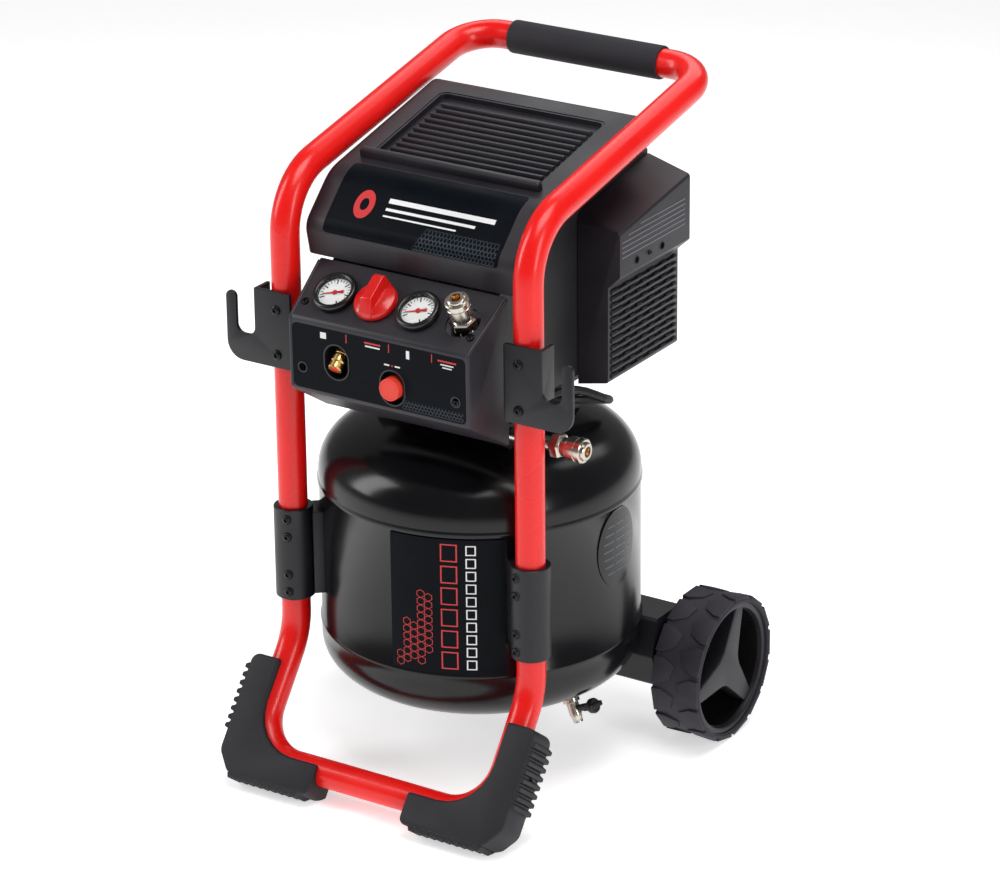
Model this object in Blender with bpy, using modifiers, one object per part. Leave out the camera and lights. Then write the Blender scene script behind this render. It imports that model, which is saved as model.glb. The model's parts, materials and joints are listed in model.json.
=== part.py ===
"""Upright wheeled air compressor with a tubular frame, a vertical tank and a low-noise pump housing.

Frame: X across the machine, Y from the control panel to the back, Z up from the floor.
The layout values below are measured from the tank's axis. One empty carries the whole
machine and moves it so that the world origin is at the middle of its footprint.
"""
from math import atan2, cos, pi, radians, sin, sqrt, tan

import bmesh
import bpy
from mathutils import Matrix, Vector

# ---- driving dimensions, in metres ----
GAP = 0.0003                    # left between solids that touch

TUBE_RADIUS = 0.014
TUBE_WALL = 0.0016
TUBE_X = 0.134                  # half the distance between the upright tubes
TUBE_Y = -0.1206
JOINT_Z = 0.2135                # where the upper hoop meets the lower one
UPPER_BEND_Z = 0.5823
UPPER_BEND_RADIUS = 0.062
HANDLE_Y = 0.199
HANDLE_Z = 0.648
HANDLE_CORNER_RADIUS = 0.040
LOWER_BEND_Z = 0.1284
LOWER_BEND_RADIUS = 0.070
FOOT_BAR_Y = -0.1965
FOOT_BAR_Z = 0.0275
FOOT_CORNER_RADIUS = 0.050

GRIP_HALF = 0.084
GRIP_RADIUS = TUBE_RADIUS + 0.0024

TANK_RADIUS = 0.155
TANK_WALL = 0.0022
TANK_SEAM_LOW = 0.1349
TANK_SEAM_HIGH = 0.2795
TANK_SKIRT = 0.012              # straight stretch of the lower end cap
DOME_HIGH = 0.070
DOME_LOW = 0.058
DOME_POWER = 2.5                # superellipse exponent of the end caps
TANK_PORT_RADIUS = 0.009
TANK_STEPS = 32                 # flats round the tank
DOME_STEPS = 5                  # bands of an end cap

PLATE_HALF = (0.031, 0.040)     # half width and half height of the oval rating plate
PLATE_THICK = 0.0012
PLATE_Z = 0.2372

DRAIN_ANGLE = radians(-8)       # round the tank, from its right-hand side
DRAIN_R = 0.111
DRAIN_TILT = radians(24)
DRAIN_CROSS = 0.0145            # from the cap out to the drain lever's axis

CLAMP_LOW = 0.167
CLAMP_HIGH = 0.260
CLAMP_RADIUS = TUBE_RADIUS + 0.0050
CLAMP_WEB = 0.030

HOOK_LOW = 0.405
HOOK_HIGH = 0.481
HOOK_PLATE = 0.0040
HOOK_INNER_X = 0.118
HOOK_SLOT_X = 0.1590
HOOK_SLOT = 0.0210
HOOK_PRONG = 0.0115
HOOK_PRONG_TOP = 0.4727
HOOK_SLOT_FLOOR = 0.4325
HOOK_FLANGE = 0.018

FOOT_REACH = 0.034              # from the tube's centre line out to the shoe's tread
FOOT_INNER = 0.004
FOOT_HALF = 0.019
FOOT_LEG = 0.092                # from the corner up the sloping tube
FOOT_TOE = 0.082                # from the corner along the front bar

WHEEL_Y = 0.1232
WHEEL_RADIUS = 0.0733
WHEEL_OUTER_X = 0.2129
WHEEL_WIDTH = 0.0524
TYRE_DEPTH = 0.0078
AXLE_RADIUS = 0.006
AXLE_HEAD = (0.010, 0.005)      # radius and thickness of the stub axle's head
AXLE_SET_BACK = 0.026           # from the wheel's outer face in to that head
AXLE_ROOT_X = 0.135
HUB_SET_BACK = 0.003
SPOKE_DEPTH = 0.0145            # how far the hub's pockets go in
BRACKET_WALL = 0.003
BRACKET_INNER_X = 0.084
BRACKET_PROFILE = ((0.070, 0.062), (0.150, 0.052), (0.150, 0.098), (0.112, 0.134), (0.068, 0.134),
                   (0.060, 0.096))

PANEL_HALF = 0.0985
PANEL_BACK_HALF = 0.104
PANEL_WALL = 0.003
PANEL_BACK_Y = -0.1085
PANEL_FRONT_LOW = (-0.166, 0.402)
PANEL_FRONT_HIGH = (-0.167, 0.474)
PANEL_TOP_Z = 0.512
PANEL_LIP_Z = 0.366
DIAL_ROW = 0.0335               # up the sloping face from its front edge
GAUGE_BODY_RADIUS = 0.0200
GAUGE_RADIUS = GAUGE_BODY_RADIUS + 0.0018
KNOB_X = -0.0190
KNOB_RADIUS = 0.0212
GAUGE_X = (KNOB_X - KNOB_RADIUS - GAUGE_RADIUS - 0.0025, KNOB_X + KNOB_RADIUS + GAUGE_RADIUS + 0.0035)
KNOB_HEIGHT = 0.0200
OUTLET_X = 0.0752
OUTLET_HOLE = 0.0170
OUTLET_TILT = 25.0              # degrees forward from vertical
VALVE_X = -0.0462
VALVE_ROOT = (-0.1500, 0.4490)  # y and z of the safety valve's seat
VALVE_Z = 0.4380
VALVE_TILT = 40.0               # degrees below horizontal
BUTTON_X = 0.0155
BUTTON_Z = 0.4255
BUTTON_RADIUS = 0.0108
BUTTON_TRAVEL = 0.006
SIDE_OUTLET_X = 0.1360
MANIFOLD_Y = -0.0880
MANIFOLD_Z = 0.3690
MANIFOLD_END = 0.0910
MANIFOLD_RADIUS = 0.0065
HOSE_RADIUS = 0.0042
HOSE_ROUTE = ((0.0800, -0.0800, 0.3690), (0.0835, -0.0600, 0.3715), (0.0850, -0.0150, 0.3790),
              (0.0900, 0.0300, 0.3720), (0.1020, 0.0600, 0.3560), (0.0960, 0.0800, 0.3460),
              (0.0930, 0.0560, 0.3540), (0.0820, 0.0260, 0.3612), (0.0400, 0.0060, 0.3612),
              (0.0100, 0.0, 0.3586))
RECESS_RADIUS = 0.0136
RECESS_RISE = 0.0035            # half the straight stretch of a recess

COVER_HALF = TUBE_X - TUBE_RADIUS - 0.0017
COVER_WALL = 0.003
COVER_CHIN = (-0.1085, 0.5143)
COVER_BROW = (-0.1150, 0.5450)
COVER_DECK_Y = -0.060
COVER_DECK_Z = 0.5900
COVER_REAR_Y = 0.104
COVER_TAIL_Y = 0.139
COVER_SKIRT = 0.027
DECK_SLOPE = 0.2256             # rise of the deck for each metre towards the back
TRAY_HALF = 0.0930
TRAY_FRONT_Y = -0.0360
TRAY_REAR_Y = 0.0865
TRAY_DEPTH = 0.0055
TRAY_RIBS = 11
LEDGE_HEIGHT = 0.0085
LEDGE_DEPTH = 0.0065

BODY_HALF = 0.0920
BODY_WALL = 0.0025
BODY_FRONT_Y = -0.104
BODY_REAR_Y = 0.157
BODY_LOW = 0.3880

SIDE_INNER_X = 0.0930
SIDE_UPPER_X = 0.1390
SIDE_LOWER_X = 0.1260
SIDE_FRONT_Y = 0.0295
SIDE_REAR_Y = 0.1570
SIDE_LOW = 0.3790
SIDE_STEP_LOW = 0.4815
SIDE_STEP_HIGH = 0.4935
SIDE_EAVE = 0.5370
SIDE_RIDGE = 0.5500
SIDE_RISE = 0.1700              # rise of the side cover's roof towards the back
SIDE_WALL = 0.0028
SLATS = 13
SLOT_INSET = 0.018              # from a slot's end to the cover's front and back

PLATFORM_Z = 0.3720
PLATFORM_THICK = 0.0060
PLATFORM_HALF = 0.0780
PLATFORM_Y = (-0.068, 0.140)
MOUNT_HEIGHT = 0.0180
MOUNT_RADIUS = 0.0110
MOUNT_X = 0.058
MOUNT_Y = 0.046
SADDLE_HALF = (0.075, 0.062)

SHAFT_Y = 0.045
SHAFT_Z = 0.4520
SHAFT_RADIUS = 0.0070
STATOR_RADIUS = 0.0520
STATOR_BORE = 0.0330
STATOR_HALF = 0.0340
ROTOR_RADIUS = 0.0320
ROTOR_HALF = 0.0300
CRANK_X = (0.0350, 0.0640)
CRANK_HALF = 0.0340
CRANK_TOP = 0.4980
HEAD_TOP = 0.5450
FAN_X = 0.0700
FAN_RADIUS = 0.0440

ROUND = 24                      # sides of a small round piece
COLLECTION = "air_compressor"


# ---- scene, materials and helpers ----
def clear_scene():
    for thing in list(bpy.data.objects):
        bpy.data.objects.remove(thing, do_unlink=True)


def make_collection(name):
    group = bpy.data.collections.new(name)
    bpy.context.scene.collection.children.link(group)
    return group


def make_material(name, rgb, roughness, metallic=0.0):
    mat = bpy.data.materials.new(name)
    mat.use_nodes = True
    shader = mat.node_tree.nodes["Principled BSDF"]
    shader.inputs["Base Color"].default_value = (*rgb, 1.0)
    shader.inputs["Roughness"].default_value = roughness
    shader.inputs["Metallic"].default_value = metallic
    mat.diffuse_color = (*rgb, 1.0)
    return mat


clear_scene()
PARTS = make_collection(COLLECTION)
CUTTERS = make_collection("cutters")

RED_PAINT = make_material("red_powder_coat", (0.74, 0.010, 0.012), 0.28)
BLACK_PAINT = make_material("black_powder_coat", (0.020, 0.019, 0.024), 0.42)
TANK_ENAMEL = make_material("tank_enamel", (0.008, 0.008, 0.010), 0.25)
HOUSING = make_material("housing_abs", (0.034, 0.031, 0.039), 0.55)
DARK_ABS = make_material("dark_abs", (0.012, 0.011, 0.013), 0.60)
FOAM = make_material("grip_foam", (0.014, 0.013, 0.017), 0.85)
RUBBER = make_material("shoe_rubber", (0.030, 0.029, 0.032), 0.75)
TYRE = make_material("tyre_rubber", (0.045, 0.043, 0.048), 0.70)
HUB = make_material("hub_plastic", (0.055, 0.053, 0.060), 0.50)
NICKEL = make_material("nickel", (0.60, 0.57, 0.52), 0.22, 1.0)
BRASS = make_material("brass", (0.72, 0.50, 0.22), 0.25, 1.0)
STEEL = make_material("zinc_steel", (0.42, 0.42, 0.44), 0.35, 1.0)
ALUMINIUM = make_material("cast_aluminium", (0.50, 0.50, 0.51), 0.45, 1.0)
RED_PLASTIC = make_material("red_plastic", (0.72, 0.012, 0.010), 0.25)
GLASS = make_material("clear_lens", (0.90, 0.92, 0.94), 0.05)
HOSE = make_material("hose_rubber", (0.012, 0.012, 0.012), 0.55)


def make_empty(name, place, turn=(0.0, 0.0, 0.0), parent=None):
    empty = bpy.data.objects.new(name, None)
    bpy.context.scene.collection.objects.link(empty)
    empty.location = place
    empty.rotation_euler = turn
    empty.parent = parent
    return empty


MACHINE = make_empty("machine", (0.0, 0.0, 0.0))


def add_object(name, data, mat, place=(0, 0, 0), turn=(0, 0, 0), parent=MACHINE, group=PARTS):
    thing = bpy.data.objects.new(name, data)
    group.objects.link(thing)
    thing.location = place
    thing.rotation_euler = turn
    thing.parent = parent
    if mat:
        data.materials.append(mat)
    return thing


def as_cutter(thing):
    """Keep a shape only as the tool of a Boolean."""
    PARTS.objects.unlink(thing)
    CUTTERS.objects.link(thing)
    thing.hide_render = True
    thing.display_type = "WIRE"
    return thing


def boolean(thing, tool, operation="DIFFERENCE"):
    as_cutter(tool)
    change = thing.modifiers.new("join" if operation == "UNION" else "cut", "BOOLEAN")
    change.operation = operation
    change.object = tool
    return thing


def mesh_from(name, build):
    shape = bmesh.new()
    build(shape)
    mesh = bpy.data.meshes.new(name)
    shape.to_mesh(mesh)
    shape.free()
    return mesh


def smooth(thing, angle=35.0):
    thing.data.shade_smooth()
    thing.data.set_sharp_from_angle(angle=radians(angle))
    return thing


def box(name, low, high, mat, bevel=0.0, **placing):
    """A block between two corners, with rounded edges where bevel is given."""
    size = [b - a for a, b in zip(low, high)]
    middle = [(a + b) / 2 for a, b in zip(low, high)]
    frame = Matrix.Translation(middle) @ Matrix.Diagonal((*size, 1.0))
    mesh = mesh_from(name, lambda s: bmesh.ops.create_cube(s, size=1.0, matrix=frame))
    thing = add_object(name, mesh, mat, **placing)
    if bevel:
        add_bevel(thing, bevel)
    return thing


def add_bevel(thing, width, segments=1, angle=40.0):
    bevel = thing.modifiers.new("rounding", "BEVEL")
    bevel.width = width
    bevel.segments = segments
    bevel.limit_method = "ANGLE"
    bevel.angle_limit = radians(angle)
    return thing


def cylinder(name, radius, low, high, mat, sides=ROUND, **placing):
    """A round bar about local Z, from low to high."""
    def build(shape):
        bmesh.ops.create_cone(shape, cap_ends=True, segments=sides, radius1=radius, radius2=radius,
                              depth=high - low, matrix=Matrix.Translation((0, 0, (low + high) / 2)))
    return smooth(add_object(name, mesh_from(name, build), mat, **placing))


def turned(name, profile, mat, steps=ROUND, closed=False, **placing):
    """Turn a profile of (radius, height) points about local Z; it runs from top to bottom."""
    def build(shape):
        corners = [shape.verts.new((r, 0.0, z)) for r, z in profile]
        for first, second in zip(corners, corners[1:]):
            shape.edges.new((first, second))
        if closed:
            shape.edges.new((corners[-1], corners[0]))
    thing = add_object(name, mesh_from(name, build), mat, **placing)
    screw = thing.modifiers.new("turning", "SCREW")
    screw.steps = steps
    screw.render_steps = steps
    screw.use_merge_vertices = True
    screw.merge_threshold = 0.00001
    screw.use_smooth_shade = True
    return thing


def ring(name, outer, inner, low, high, mat, **placing):
    profile = [(outer, high), (outer, low), (inner, low), (inner, high)]
    return turned(name, profile, mat, closed=True, **placing)


def rounded(points, radii, steps=4, closed=True):
    """Replace corners of a path by arcs. A radius of 0 keeps the corner sharp."""
    points = [Vector(p).to_3d() if len(p) == 3 else Vector((p[0], p[1], 0.0)) for p in points]
    if not hasattr(radii, "__len__"):
        radii = [radii] * len(points)
    path = []
    last = len(points) - 1
    for i, corner in enumerate(points):
        if radii[i] <= 0 or (not closed and i in (0, last)):
            path.append(corner)
            continue
        back = (points[i - 1] - corner).normalized()
        ahead = (points[(i + 1) % len(points)] - corner).normalized()
        half = back.angle(ahead) / 2
        centre = corner + (back + ahead).normalized() * (radii[i] / sin(half))
        start = corner + back * (radii[i] / tan(half)) - centre
        end = corner + ahead * (radii[i] / tan(half)) - centre
        sweep = start.angle(end)
        for k in range(steps + 1):
            t = k / steps
            arm = (start * sin((1 - t) * sweep) + end * sin(t * sweep)) / sin(sweep)
            path.append(centre + arm)
    return path


def smooth_path(points, count):
    """Points along one smooth curve through the given ones."""
    points = [Vector(p) for p in points]
    ends = [points[0] * 2 - points[1]] + points + [points[-1] * 2 - points[-2]]
    path = []
    for a, b, c, d in zip(ends, ends[1:], ends[2:], ends[3:]):
        for k in range(count):
            t = k / count
            path.append(((b * 2) + (c - a) * t + (a * 2 - b * 5 + c * 4 - d) * t ** 2
                         + (b * 3 - a - c * 3 + d) * t ** 3) / 2)
    return path + [points[-1]]


def curve_object(name, points, flat, closed):
    data = bpy.data.curves.new(name, "CURVE")
    data.dimensions = "2D" if flat else "3D"
    line = data.splines.new("POLY")
    line.points.add(len(points) - 1)
    for spot, place in zip(line.points, points):
        spot.co = (place[0], place[1], 0.0 if flat else place[2], 1.0)
    line.use_cyclic_u = closed
    return data


def as_mesh(thing):
    """Turn a curve object into a mesh object with welded caps."""
    bpy.context.view_layer.update()
    seen = thing.evaluated_get(bpy.context.evaluated_depsgraph_get())
    mesh = bpy.data.meshes.new_from_object(seen)
    shape = bmesh.new()
    shape.from_mesh(mesh)
    bmesh.ops.remove_doubles(shape, verts=shape.verts, dist=0.00002)
    shape.to_mesh(mesh)
    shape.free()
    name = thing.name
    thing.name = name + "_curve"
    solid = bpy.data.objects.new(name, mesh)
    for group in thing.users_collection:
        group.objects.link(solid)
    solid.parent = thing.parent
    solid.matrix_world = thing.matrix_world.copy()
    bpy.data.objects.remove(thing, do_unlink=True)
    return solid


def tube(name, points, radius, mat, sides=14, caps=True, **placing):
    data = curve_object(name, points, flat=False, closed=False)
    data.bevel_depth = radius
    data.bevel_resolution = (sides - 4) // 2
    data.use_fill_caps = caps
    return add_object(name, data, mat, **placing)


def plate(name, outline, thickness, mat, **placing):
    """A flat outline in local XY, extruded evenly to both sides of it."""
    data = curve_object(name, outline, flat=True, closed=True)
    data.fill_mode = "BOTH"
    data.extrude = thickness / 2
    return as_mesh(add_object(name, data, mat, **placing))


ALONG_X = (pi / 2, 0.0, pi / 2)     # local XY becomes the machine's YZ, local Z its X
ALONG_Y = (pi / 2, 0.0, 0.0)        # local XY becomes the machine's XZ, local Z its -Y


def shell(thing, wall):
    """Give an open surface a wall on its inner side."""
    wall_change = thing.modifiers.new("wall", "SOLIDIFY")
    wall_change.thickness = wall
    wall_change.offset = -1.0
    wall_change.use_even_offset = True
    return thing


def remove_faces(thing, chosen):
    shape = bmesh.new()
    shape.from_mesh(thing.data)
    doomed = [face for face in shape.faces if chosen(face)]
    bmesh.ops.delete(shape, geom=doomed, context="FACES")
    shape.to_mesh(thing.data)
    shape.free()
    return thing


def both_sides():
    return (("left", -1), ("right", 1))


# ---- frame ----
def bent_tube(name, points, radii):
    """A hollow tube along bent centre-line points, open at both ends."""
    path = rounded(points, radii, steps=5, closed=False)
    pipe = as_mesh(tube(name, path, TUBE_RADIUS, RED_PAINT, caps=False))
    shell(pipe, TUBE_WALL)
    return smooth(pipe, 60)


def handle_points():
    left = [(-TUBE_X, TUBE_Y, JOINT_Z + GAP), (-TUBE_X, TUBE_Y, UPPER_BEND_Z), (-TUBE_X, HANDLE_Y, HANDLE_Z)]
    return left + [(-x, y, z) for x, y, z in reversed(left)]


def foot_points():
    left = [(-TUBE_X, TUBE_Y, JOINT_Z - GAP), (-TUBE_X, TUBE_Y, LOWER_BEND_Z),
            (-TUBE_X, FOOT_BAR_Y, FOOT_BAR_Z)]
    return left + [(-x, y, z) for x, y, z in reversed(left)]


def build_frame():
    bent_tube("handle_hoop", handle_points(),
              [0, UPPER_BEND_RADIUS, HANDLE_CORNER_RADIUS, HANDLE_CORNER_RADIUS, UPPER_BEND_RADIUS, 0])
    bent_tube("foot_hoop", foot_points(),
              [0, LOWER_BEND_RADIUS, FOOT_CORNER_RADIUS, FOOT_CORNER_RADIUS, LOWER_BEND_RADIUS, 0])
    ring("handle_grip", GRIP_RADIUS, TUBE_RADIUS + GAP, -GRIP_HALF, GRIP_HALF, FOAM,
         place=(0, HANDLE_Y, HANDLE_Z), turn=(0, pi / 2, 0))


def tank_envelope(name):
    """The tank's outer form, a touch larger, as a tool for what seats on it."""
    profile = tank_profile(TANK_PORT_RADIUS, GAP)
    return turned(name, [(0.0, profile[0][1])] + profile, None, steps=TANK_STEPS)


def tank_profile(port, grow=0.0):
    """Outer profile of the tank from the top port down to the bottom centre."""
    wide = TANK_RADIUS + grow

    def cap(height, low_r):
        spots = []
        for k in range(DOME_STEPS + 1):
            rise = sin(k / DOME_STEPS * pi / 2)
            r = wide * (1 - rise ** DOME_POWER) ** (1 / DOME_POWER)
            spots.append((max(r, low_r), (height + grow) * rise))
        return spots
    upper = [(r, TANK_SEAM_HIGH + z) for r, z in cap(DOME_HIGH, port)]
    lower = [(r, TANK_SEAM_LOW - TANK_SKIRT - z) for r, z in cap(DOME_LOW, 0.0)]
    return upper[::-1] + [(wide, TANK_SEAM_LOW)] + lower


def build_tank():
    tank = turned("air_tank", tank_profile(TANK_PORT_RADIUS), TANK_ENAMEL, steps=TANK_STEPS)
    shell(tank, TANK_WALL)
    for side, sign in both_sides():
        build_clamp(side, sign)
    build_rating_plate()
    build_drain()


def build_clamp(side, sign):
    """A sleeve over the tube joint, with a web welded to the tank's wall."""
    name = f"tube_clamp_{side}"
    place = (sign * TUBE_X, TUBE_Y, 0)
    clamp = cylinder(name, CLAMP_RADIUS, CLAMP_LOW, CLAMP_HIGH, BLACK_PAINT, sides=20, place=place)
    inward = atan2(-TUBE_Y, -sign * TUBE_X)
    reach = sqrt(TUBE_X ** 2 + TUBE_Y ** 2) - TANK_RADIUS
    web = box(name + "_web", (TUBE_RADIUS, -CLAMP_WEB / 2, CLAMP_LOW + 0.004),
              (reach + 0.006, CLAMP_WEB / 2, CLAMP_HIGH - 0.004), None, place=place, turn=(0, 0, inward))
    boolean(clamp, web, "UNION")
    bore = cylinder(name + "_bore", TUBE_RADIUS + GAP, CLAMP_LOW - 0.01, CLAMP_HIGH + 0.01, None,
                    sides=20, place=place)
    boolean(clamp, bore)
    boolean(clamp, tank_envelope(name + "_seat"))


def build_rating_plate():
    """An oval plate bent round the tank's right-hand wall."""
    inner, outer = TANK_RADIUS + GAP, TANK_RADIUS + GAP + PLATE_THICK
    band = turned("rating_plate", [(outer, PLATE_HALF[1]), (outer, -PLATE_HALF[1]), (inner, -PLATE_HALF[1]),
                                   (inner, PLATE_HALF[1])],
                  TANK_ENAMEL, steps=96, closed=True, place=(0, 0, PLATE_Z))
    oval = [(PLATE_HALF[0] * cos(a), PLATE_HALF[1] * sin(a)) for a in (k * pi / 10 for k in range(20))]
    keep = plate("rating_plate_outline", oval, 0.03, None, place=(TANK_RADIUS, 0, PLATE_Z), turn=ALONG_X)
    boolean(band, keep, "INTERSECT")


def drain_frame():
    """Place and turn of the drain valve: local -Z points out of the lower cap."""
    share = (DRAIN_R / TANK_RADIUS) ** DOME_POWER
    z = TANK_SEAM_LOW - TANK_SKIRT - DOME_LOW * (1 - share) ** (1 / DOME_POWER)
    place = (DRAIN_R * cos(DRAIN_ANGLE), DRAIN_R * sin(DRAIN_ANGLE), z)
    return place, (0.0, -DRAIN_TILT, DRAIN_ANGLE)


def build_drain():
    place, turn = drain_frame()
    body = turned("drain_valve_body",
                  [(0.0, -0.0015), (0.0085, -0.0015), (0.0085, -0.0070), (0.0062, -0.0080),
                   (0.0062, -0.0200), (0.0048, -0.0240), (0.0048, -0.0280), (0.0, -0.0280)],
                  NICKEL, place=place, turn=turn)
    boolean(body, tank_envelope("drain_seat"))
    pivot = make_empty("drain_pivot", place, turn, MACHINE)
    stem = turned("drain_lever",
                  [(0.0, 0.0290), (0.0075, 0.0280), (0.0080, 0.0240), (0.0042, 0.0200),
                   (0.0036, 0.0066), (0.0, 0.0066)], DARK_ABS, place=(0, 0, -DRAIN_CROSS),
                  turn=(0, pi / 2, 0), parent=pivot)
    wing = box("drain_wing", (-0.0080, -0.0028, 0.0170), (0.0080, 0.0028, 0.0310), None, bevel=0.0015,
               place=(0, 0, -DRAIN_CROSS), turn=(0, pi / 2, 0), parent=pivot)
    boolean(stem, wing, "UNION")


# ---- hooks, shoes and wheels ----
def hook_outline():
    outer = HOOK_SLOT_X + HOOK_SLOT + HOOK_PRONG
    slot_end = HOOK_SLOT_X + HOOK_SLOT
    points = [(HOOK_INNER_X, HOOK_LOW), (outer, HOOK_LOW), (outer, HOOK_PRONG_TOP),
              (slot_end, HOOK_PRONG_TOP), (slot_end, HOOK_SLOT_FLOOR), (HOOK_SLOT_X, HOOK_SLOT_FLOOR),
              (HOOK_SLOT_X, HOOK_HIGH), (HOOK_INNER_X, HOOK_HIGH)]
    radii = [0.003, 0.018, 0.0050, 0.0050, 0.0085, 0.0085, 0.002, 0.002]
    return rounded(points, radii, steps=4)


def build_hooks():
    front = TUBE_Y - TUBE_RADIUS - GAP
    for side, sign in both_sides():
        name = f"hook_bracket_{side}"
        outline = [(sign * p.x, p.y, 0.0) for p in hook_outline()]
        hook = plate(name, outline, HOOK_PLATE, BLACK_PAINT,
                     place=(0, front - HOOK_PLATE / 2, 0), turn=ALONG_Y)
        edge = sorted((sign * (HOOK_SLOT_X - HOOK_PLATE), sign * HOOK_SLOT_X))
        flange = box(name + "_flange", (edge[0], front - HOOK_PLATE, HOOK_SLOT_FLOOR - 0.004),
                     (edge[1], front + HOOK_FLANGE, HOOK_HIGH), None)
        boolean(hook, flange, "UNION")


def foot_slope():
    """Lean of the lower hoop's plane: the angle of its sloping legs from vertical."""
    return atan2(TUBE_Y - FOOT_BAR_Y, LOWER_BEND_Z - FOOT_BAR_Z)


def foot_matrix():
    """Local X is the machine's X, local Y climbs the sloping legs, local Z faces up and forward."""
    lean = foot_slope()
    return (0, FOOT_BAR_Y, FOOT_BAR_Z), (pi / 2 - lean, 0, 0)


def shoe_outline(inner, outer, leg, toe):
    """An L round the hoop's corner, in the hoop's plane, for the right-hand side."""
    x_out, y_out = TUBE_X + outer, -outer
    x_in, y_in = TUBE_X + inner, -inner
    points = [(TUBE_X - toe, y_out), (x_out, y_out), (x_out, leg), (x_in, leg), (x_in, y_in),
              (TUBE_X - toe, y_in)]
    radii = [0.006, FOOT_CORNER_RADIUS * 0.6, 0.008, 0.0, FOOT_CORNER_RADIUS, 0.0]
    return rounded(points, radii, steps=5)


def build_feet():
    place, turn = foot_matrix()
    for side, sign in both_sides():
        name = f"corner_foot_{side}"
        outline = [(sign * p.x, p.y, 0.0) for p in shoe_outline(-FOOT_INNER, FOOT_REACH, FOOT_LEG, FOOT_TOE)]
        shoe = plate(name, outline, 2 * FOOT_HALF, RUBBER, place=place, turn=turn)
        path = rounded(foot_points(), [0, LOWER_BEND_RADIUS, FOOT_CORNER_RADIUS, FOOT_CORNER_RADIUS,
                                       LOWER_BEND_RADIUS, 0], steps=5, closed=False)
        boolean(shoe, as_mesh(tube(name + "_channel", path, TUBE_RADIUS + GAP, None)))
        below = box(name + "_floor", (sign * TUBE_X - 0.15, -0.35, -0.10), (sign * TUBE_X + 0.15, 0.05, 0.0),
                    None)
        boolean(shoe, below)


def build_wheels():
    inner_x = WHEEL_OUTER_X - WHEEL_WIDTH
    hub_radius = WHEEL_RADIUS - TYRE_DEPTH
    for side, sign in both_sides():
        turn = (0, sign * pi / 2, 0)
        centre = make_empty(f"wheel_centre_{side}", (0, WHEEL_Y, WHEEL_RADIUS), turn, MACHINE)
        tyre = ring(f"tyre_{side}", WHEEL_RADIUS, hub_radius + GAP, inner_x, WHEEL_OUTER_X, TYRE,
                    parent=centre)
        tyre.modifiers["turning"].steps = 36
        tyre.modifiers["turning"].render_steps = 36
        hub = cylinder(f"wheel_hub_{side}", hub_radius, inner_x + HUB_SET_BACK,
                       WHEEL_OUTER_X - HUB_SET_BACK, HUB, sides=36, parent=centre)
        cut_hub_pockets(hub, centre)
        head_x = WHEEL_OUTER_X - AXLE_SET_BACK
        head_radius, head_thick = AXLE_HEAD
        neck_x = head_x - head_thick
        axle = turned(f"wheel_axle_{side}",
                      [(0.0, head_x), (head_radius, head_x), (head_radius, neck_x), (AXLE_RADIUS, neck_x),
                       (AXLE_RADIUS, AXLE_ROOT_X), (0.0, AXLE_ROOT_X)], STEEL, parent=centre)
        bore = turned(axle.name + "_bore",
                      [(0.0, WHEEL_OUTER_X), (head_radius + 0.002, WHEEL_OUTER_X),
                       (head_radius + 0.002, neck_x - 0.001), (AXLE_RADIUS + GAP, neck_x - 0.001),
                       (AXLE_RADIUS + GAP, 0.12), (0.0, 0.12)], None, parent=centre)
        boolean(hub, bore)
        build_wheel_bracket(side, sign)


def pocket_outline(middle):
    """One of the three pockets between the spokes, as a sector with rounded corners."""
    hub_radius = WHEEL_RADIUS - TYRE_DEPTH
    outer = hub_radius - 0.005
    spread = radians(48)
    arc = [(outer * cos(middle + spread * t), outer * sin(middle + spread * t))
           for t in (-1.0, -0.6, -0.2, 0.2, 0.6, 1.0)]
    return arc + [(0.026 * cos(middle), 0.026 * sin(middle))]


def cut_hub_pockets(hub, centre):
    for number in range(3):
        middle = radians(20 + 120 * number)
        tool = plate(f"{hub.name}_pocket_{number}", pocket_outline(middle), 0.040, None,
                     place=(0, 0, WHEEL_OUTER_X - SPOKE_DEPTH), parent=centre)
        boolean(hub, tool)


def build_wheel_bracket(side, sign):
    """A folded box that carries the stub axle out from the tank's lower wall."""
    outline = rounded(BRACKET_PROFILE, 0.003, steps=1)
    inner, outer = BRACKET_INNER_X, WHEEL_OUTER_X - WHEEL_WIDTH - 0.0035
    name = f"wheel_bracket_{side}"
    bracket = plate(name, outline, outer - inner, BLACK_PAINT,
                    place=(sign * (inner + outer) / 2, 0, 0), turn=ALONG_X)
    open_end = -sign * (outer - inner) / 2
    remove_faces(bracket, lambda face: all(abs(v.co.z - open_end) < 0.0001 for v in face.verts))
    shell(bracket, BRACKET_WALL)
    boolean(bracket, tank_envelope(name + "_seat"))
    seat = cylinder(name + "_bore", AXLE_RADIUS + GAP, AXLE_ROOT_X - GAP, WHEEL_OUTER_X, None,
                    place=(0, WHEEL_Y, WHEEL_RADIUS), turn=(0, sign * pi / 2, 0))
    boolean(bracket, seat)


# ---- control panel ----
def slope_angle():
    return atan2(PANEL_TOP_Z - PANEL_FRONT_HIGH[1], PANEL_BACK_Y - PANEL_FRONT_HIGH[0])


def on_slope(x, along, proud=0.0):
    """A point on the sloping face, a distance up from its front edge and proud of it."""
    a = slope_angle()
    y = PANEL_FRONT_HIGH[0] + along * cos(a) - proud * sin(a)
    z = PANEL_FRONT_HIGH[1] + along * sin(a) + proud * cos(a)
    return (x, y, z)


def front_y(z):
    low, high = PANEL_FRONT_LOW, PANEL_FRONT_HIGH
    return low[0] + (high[0] - low[0]) * (z - low[1]) / (high[1] - low[1])


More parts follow.
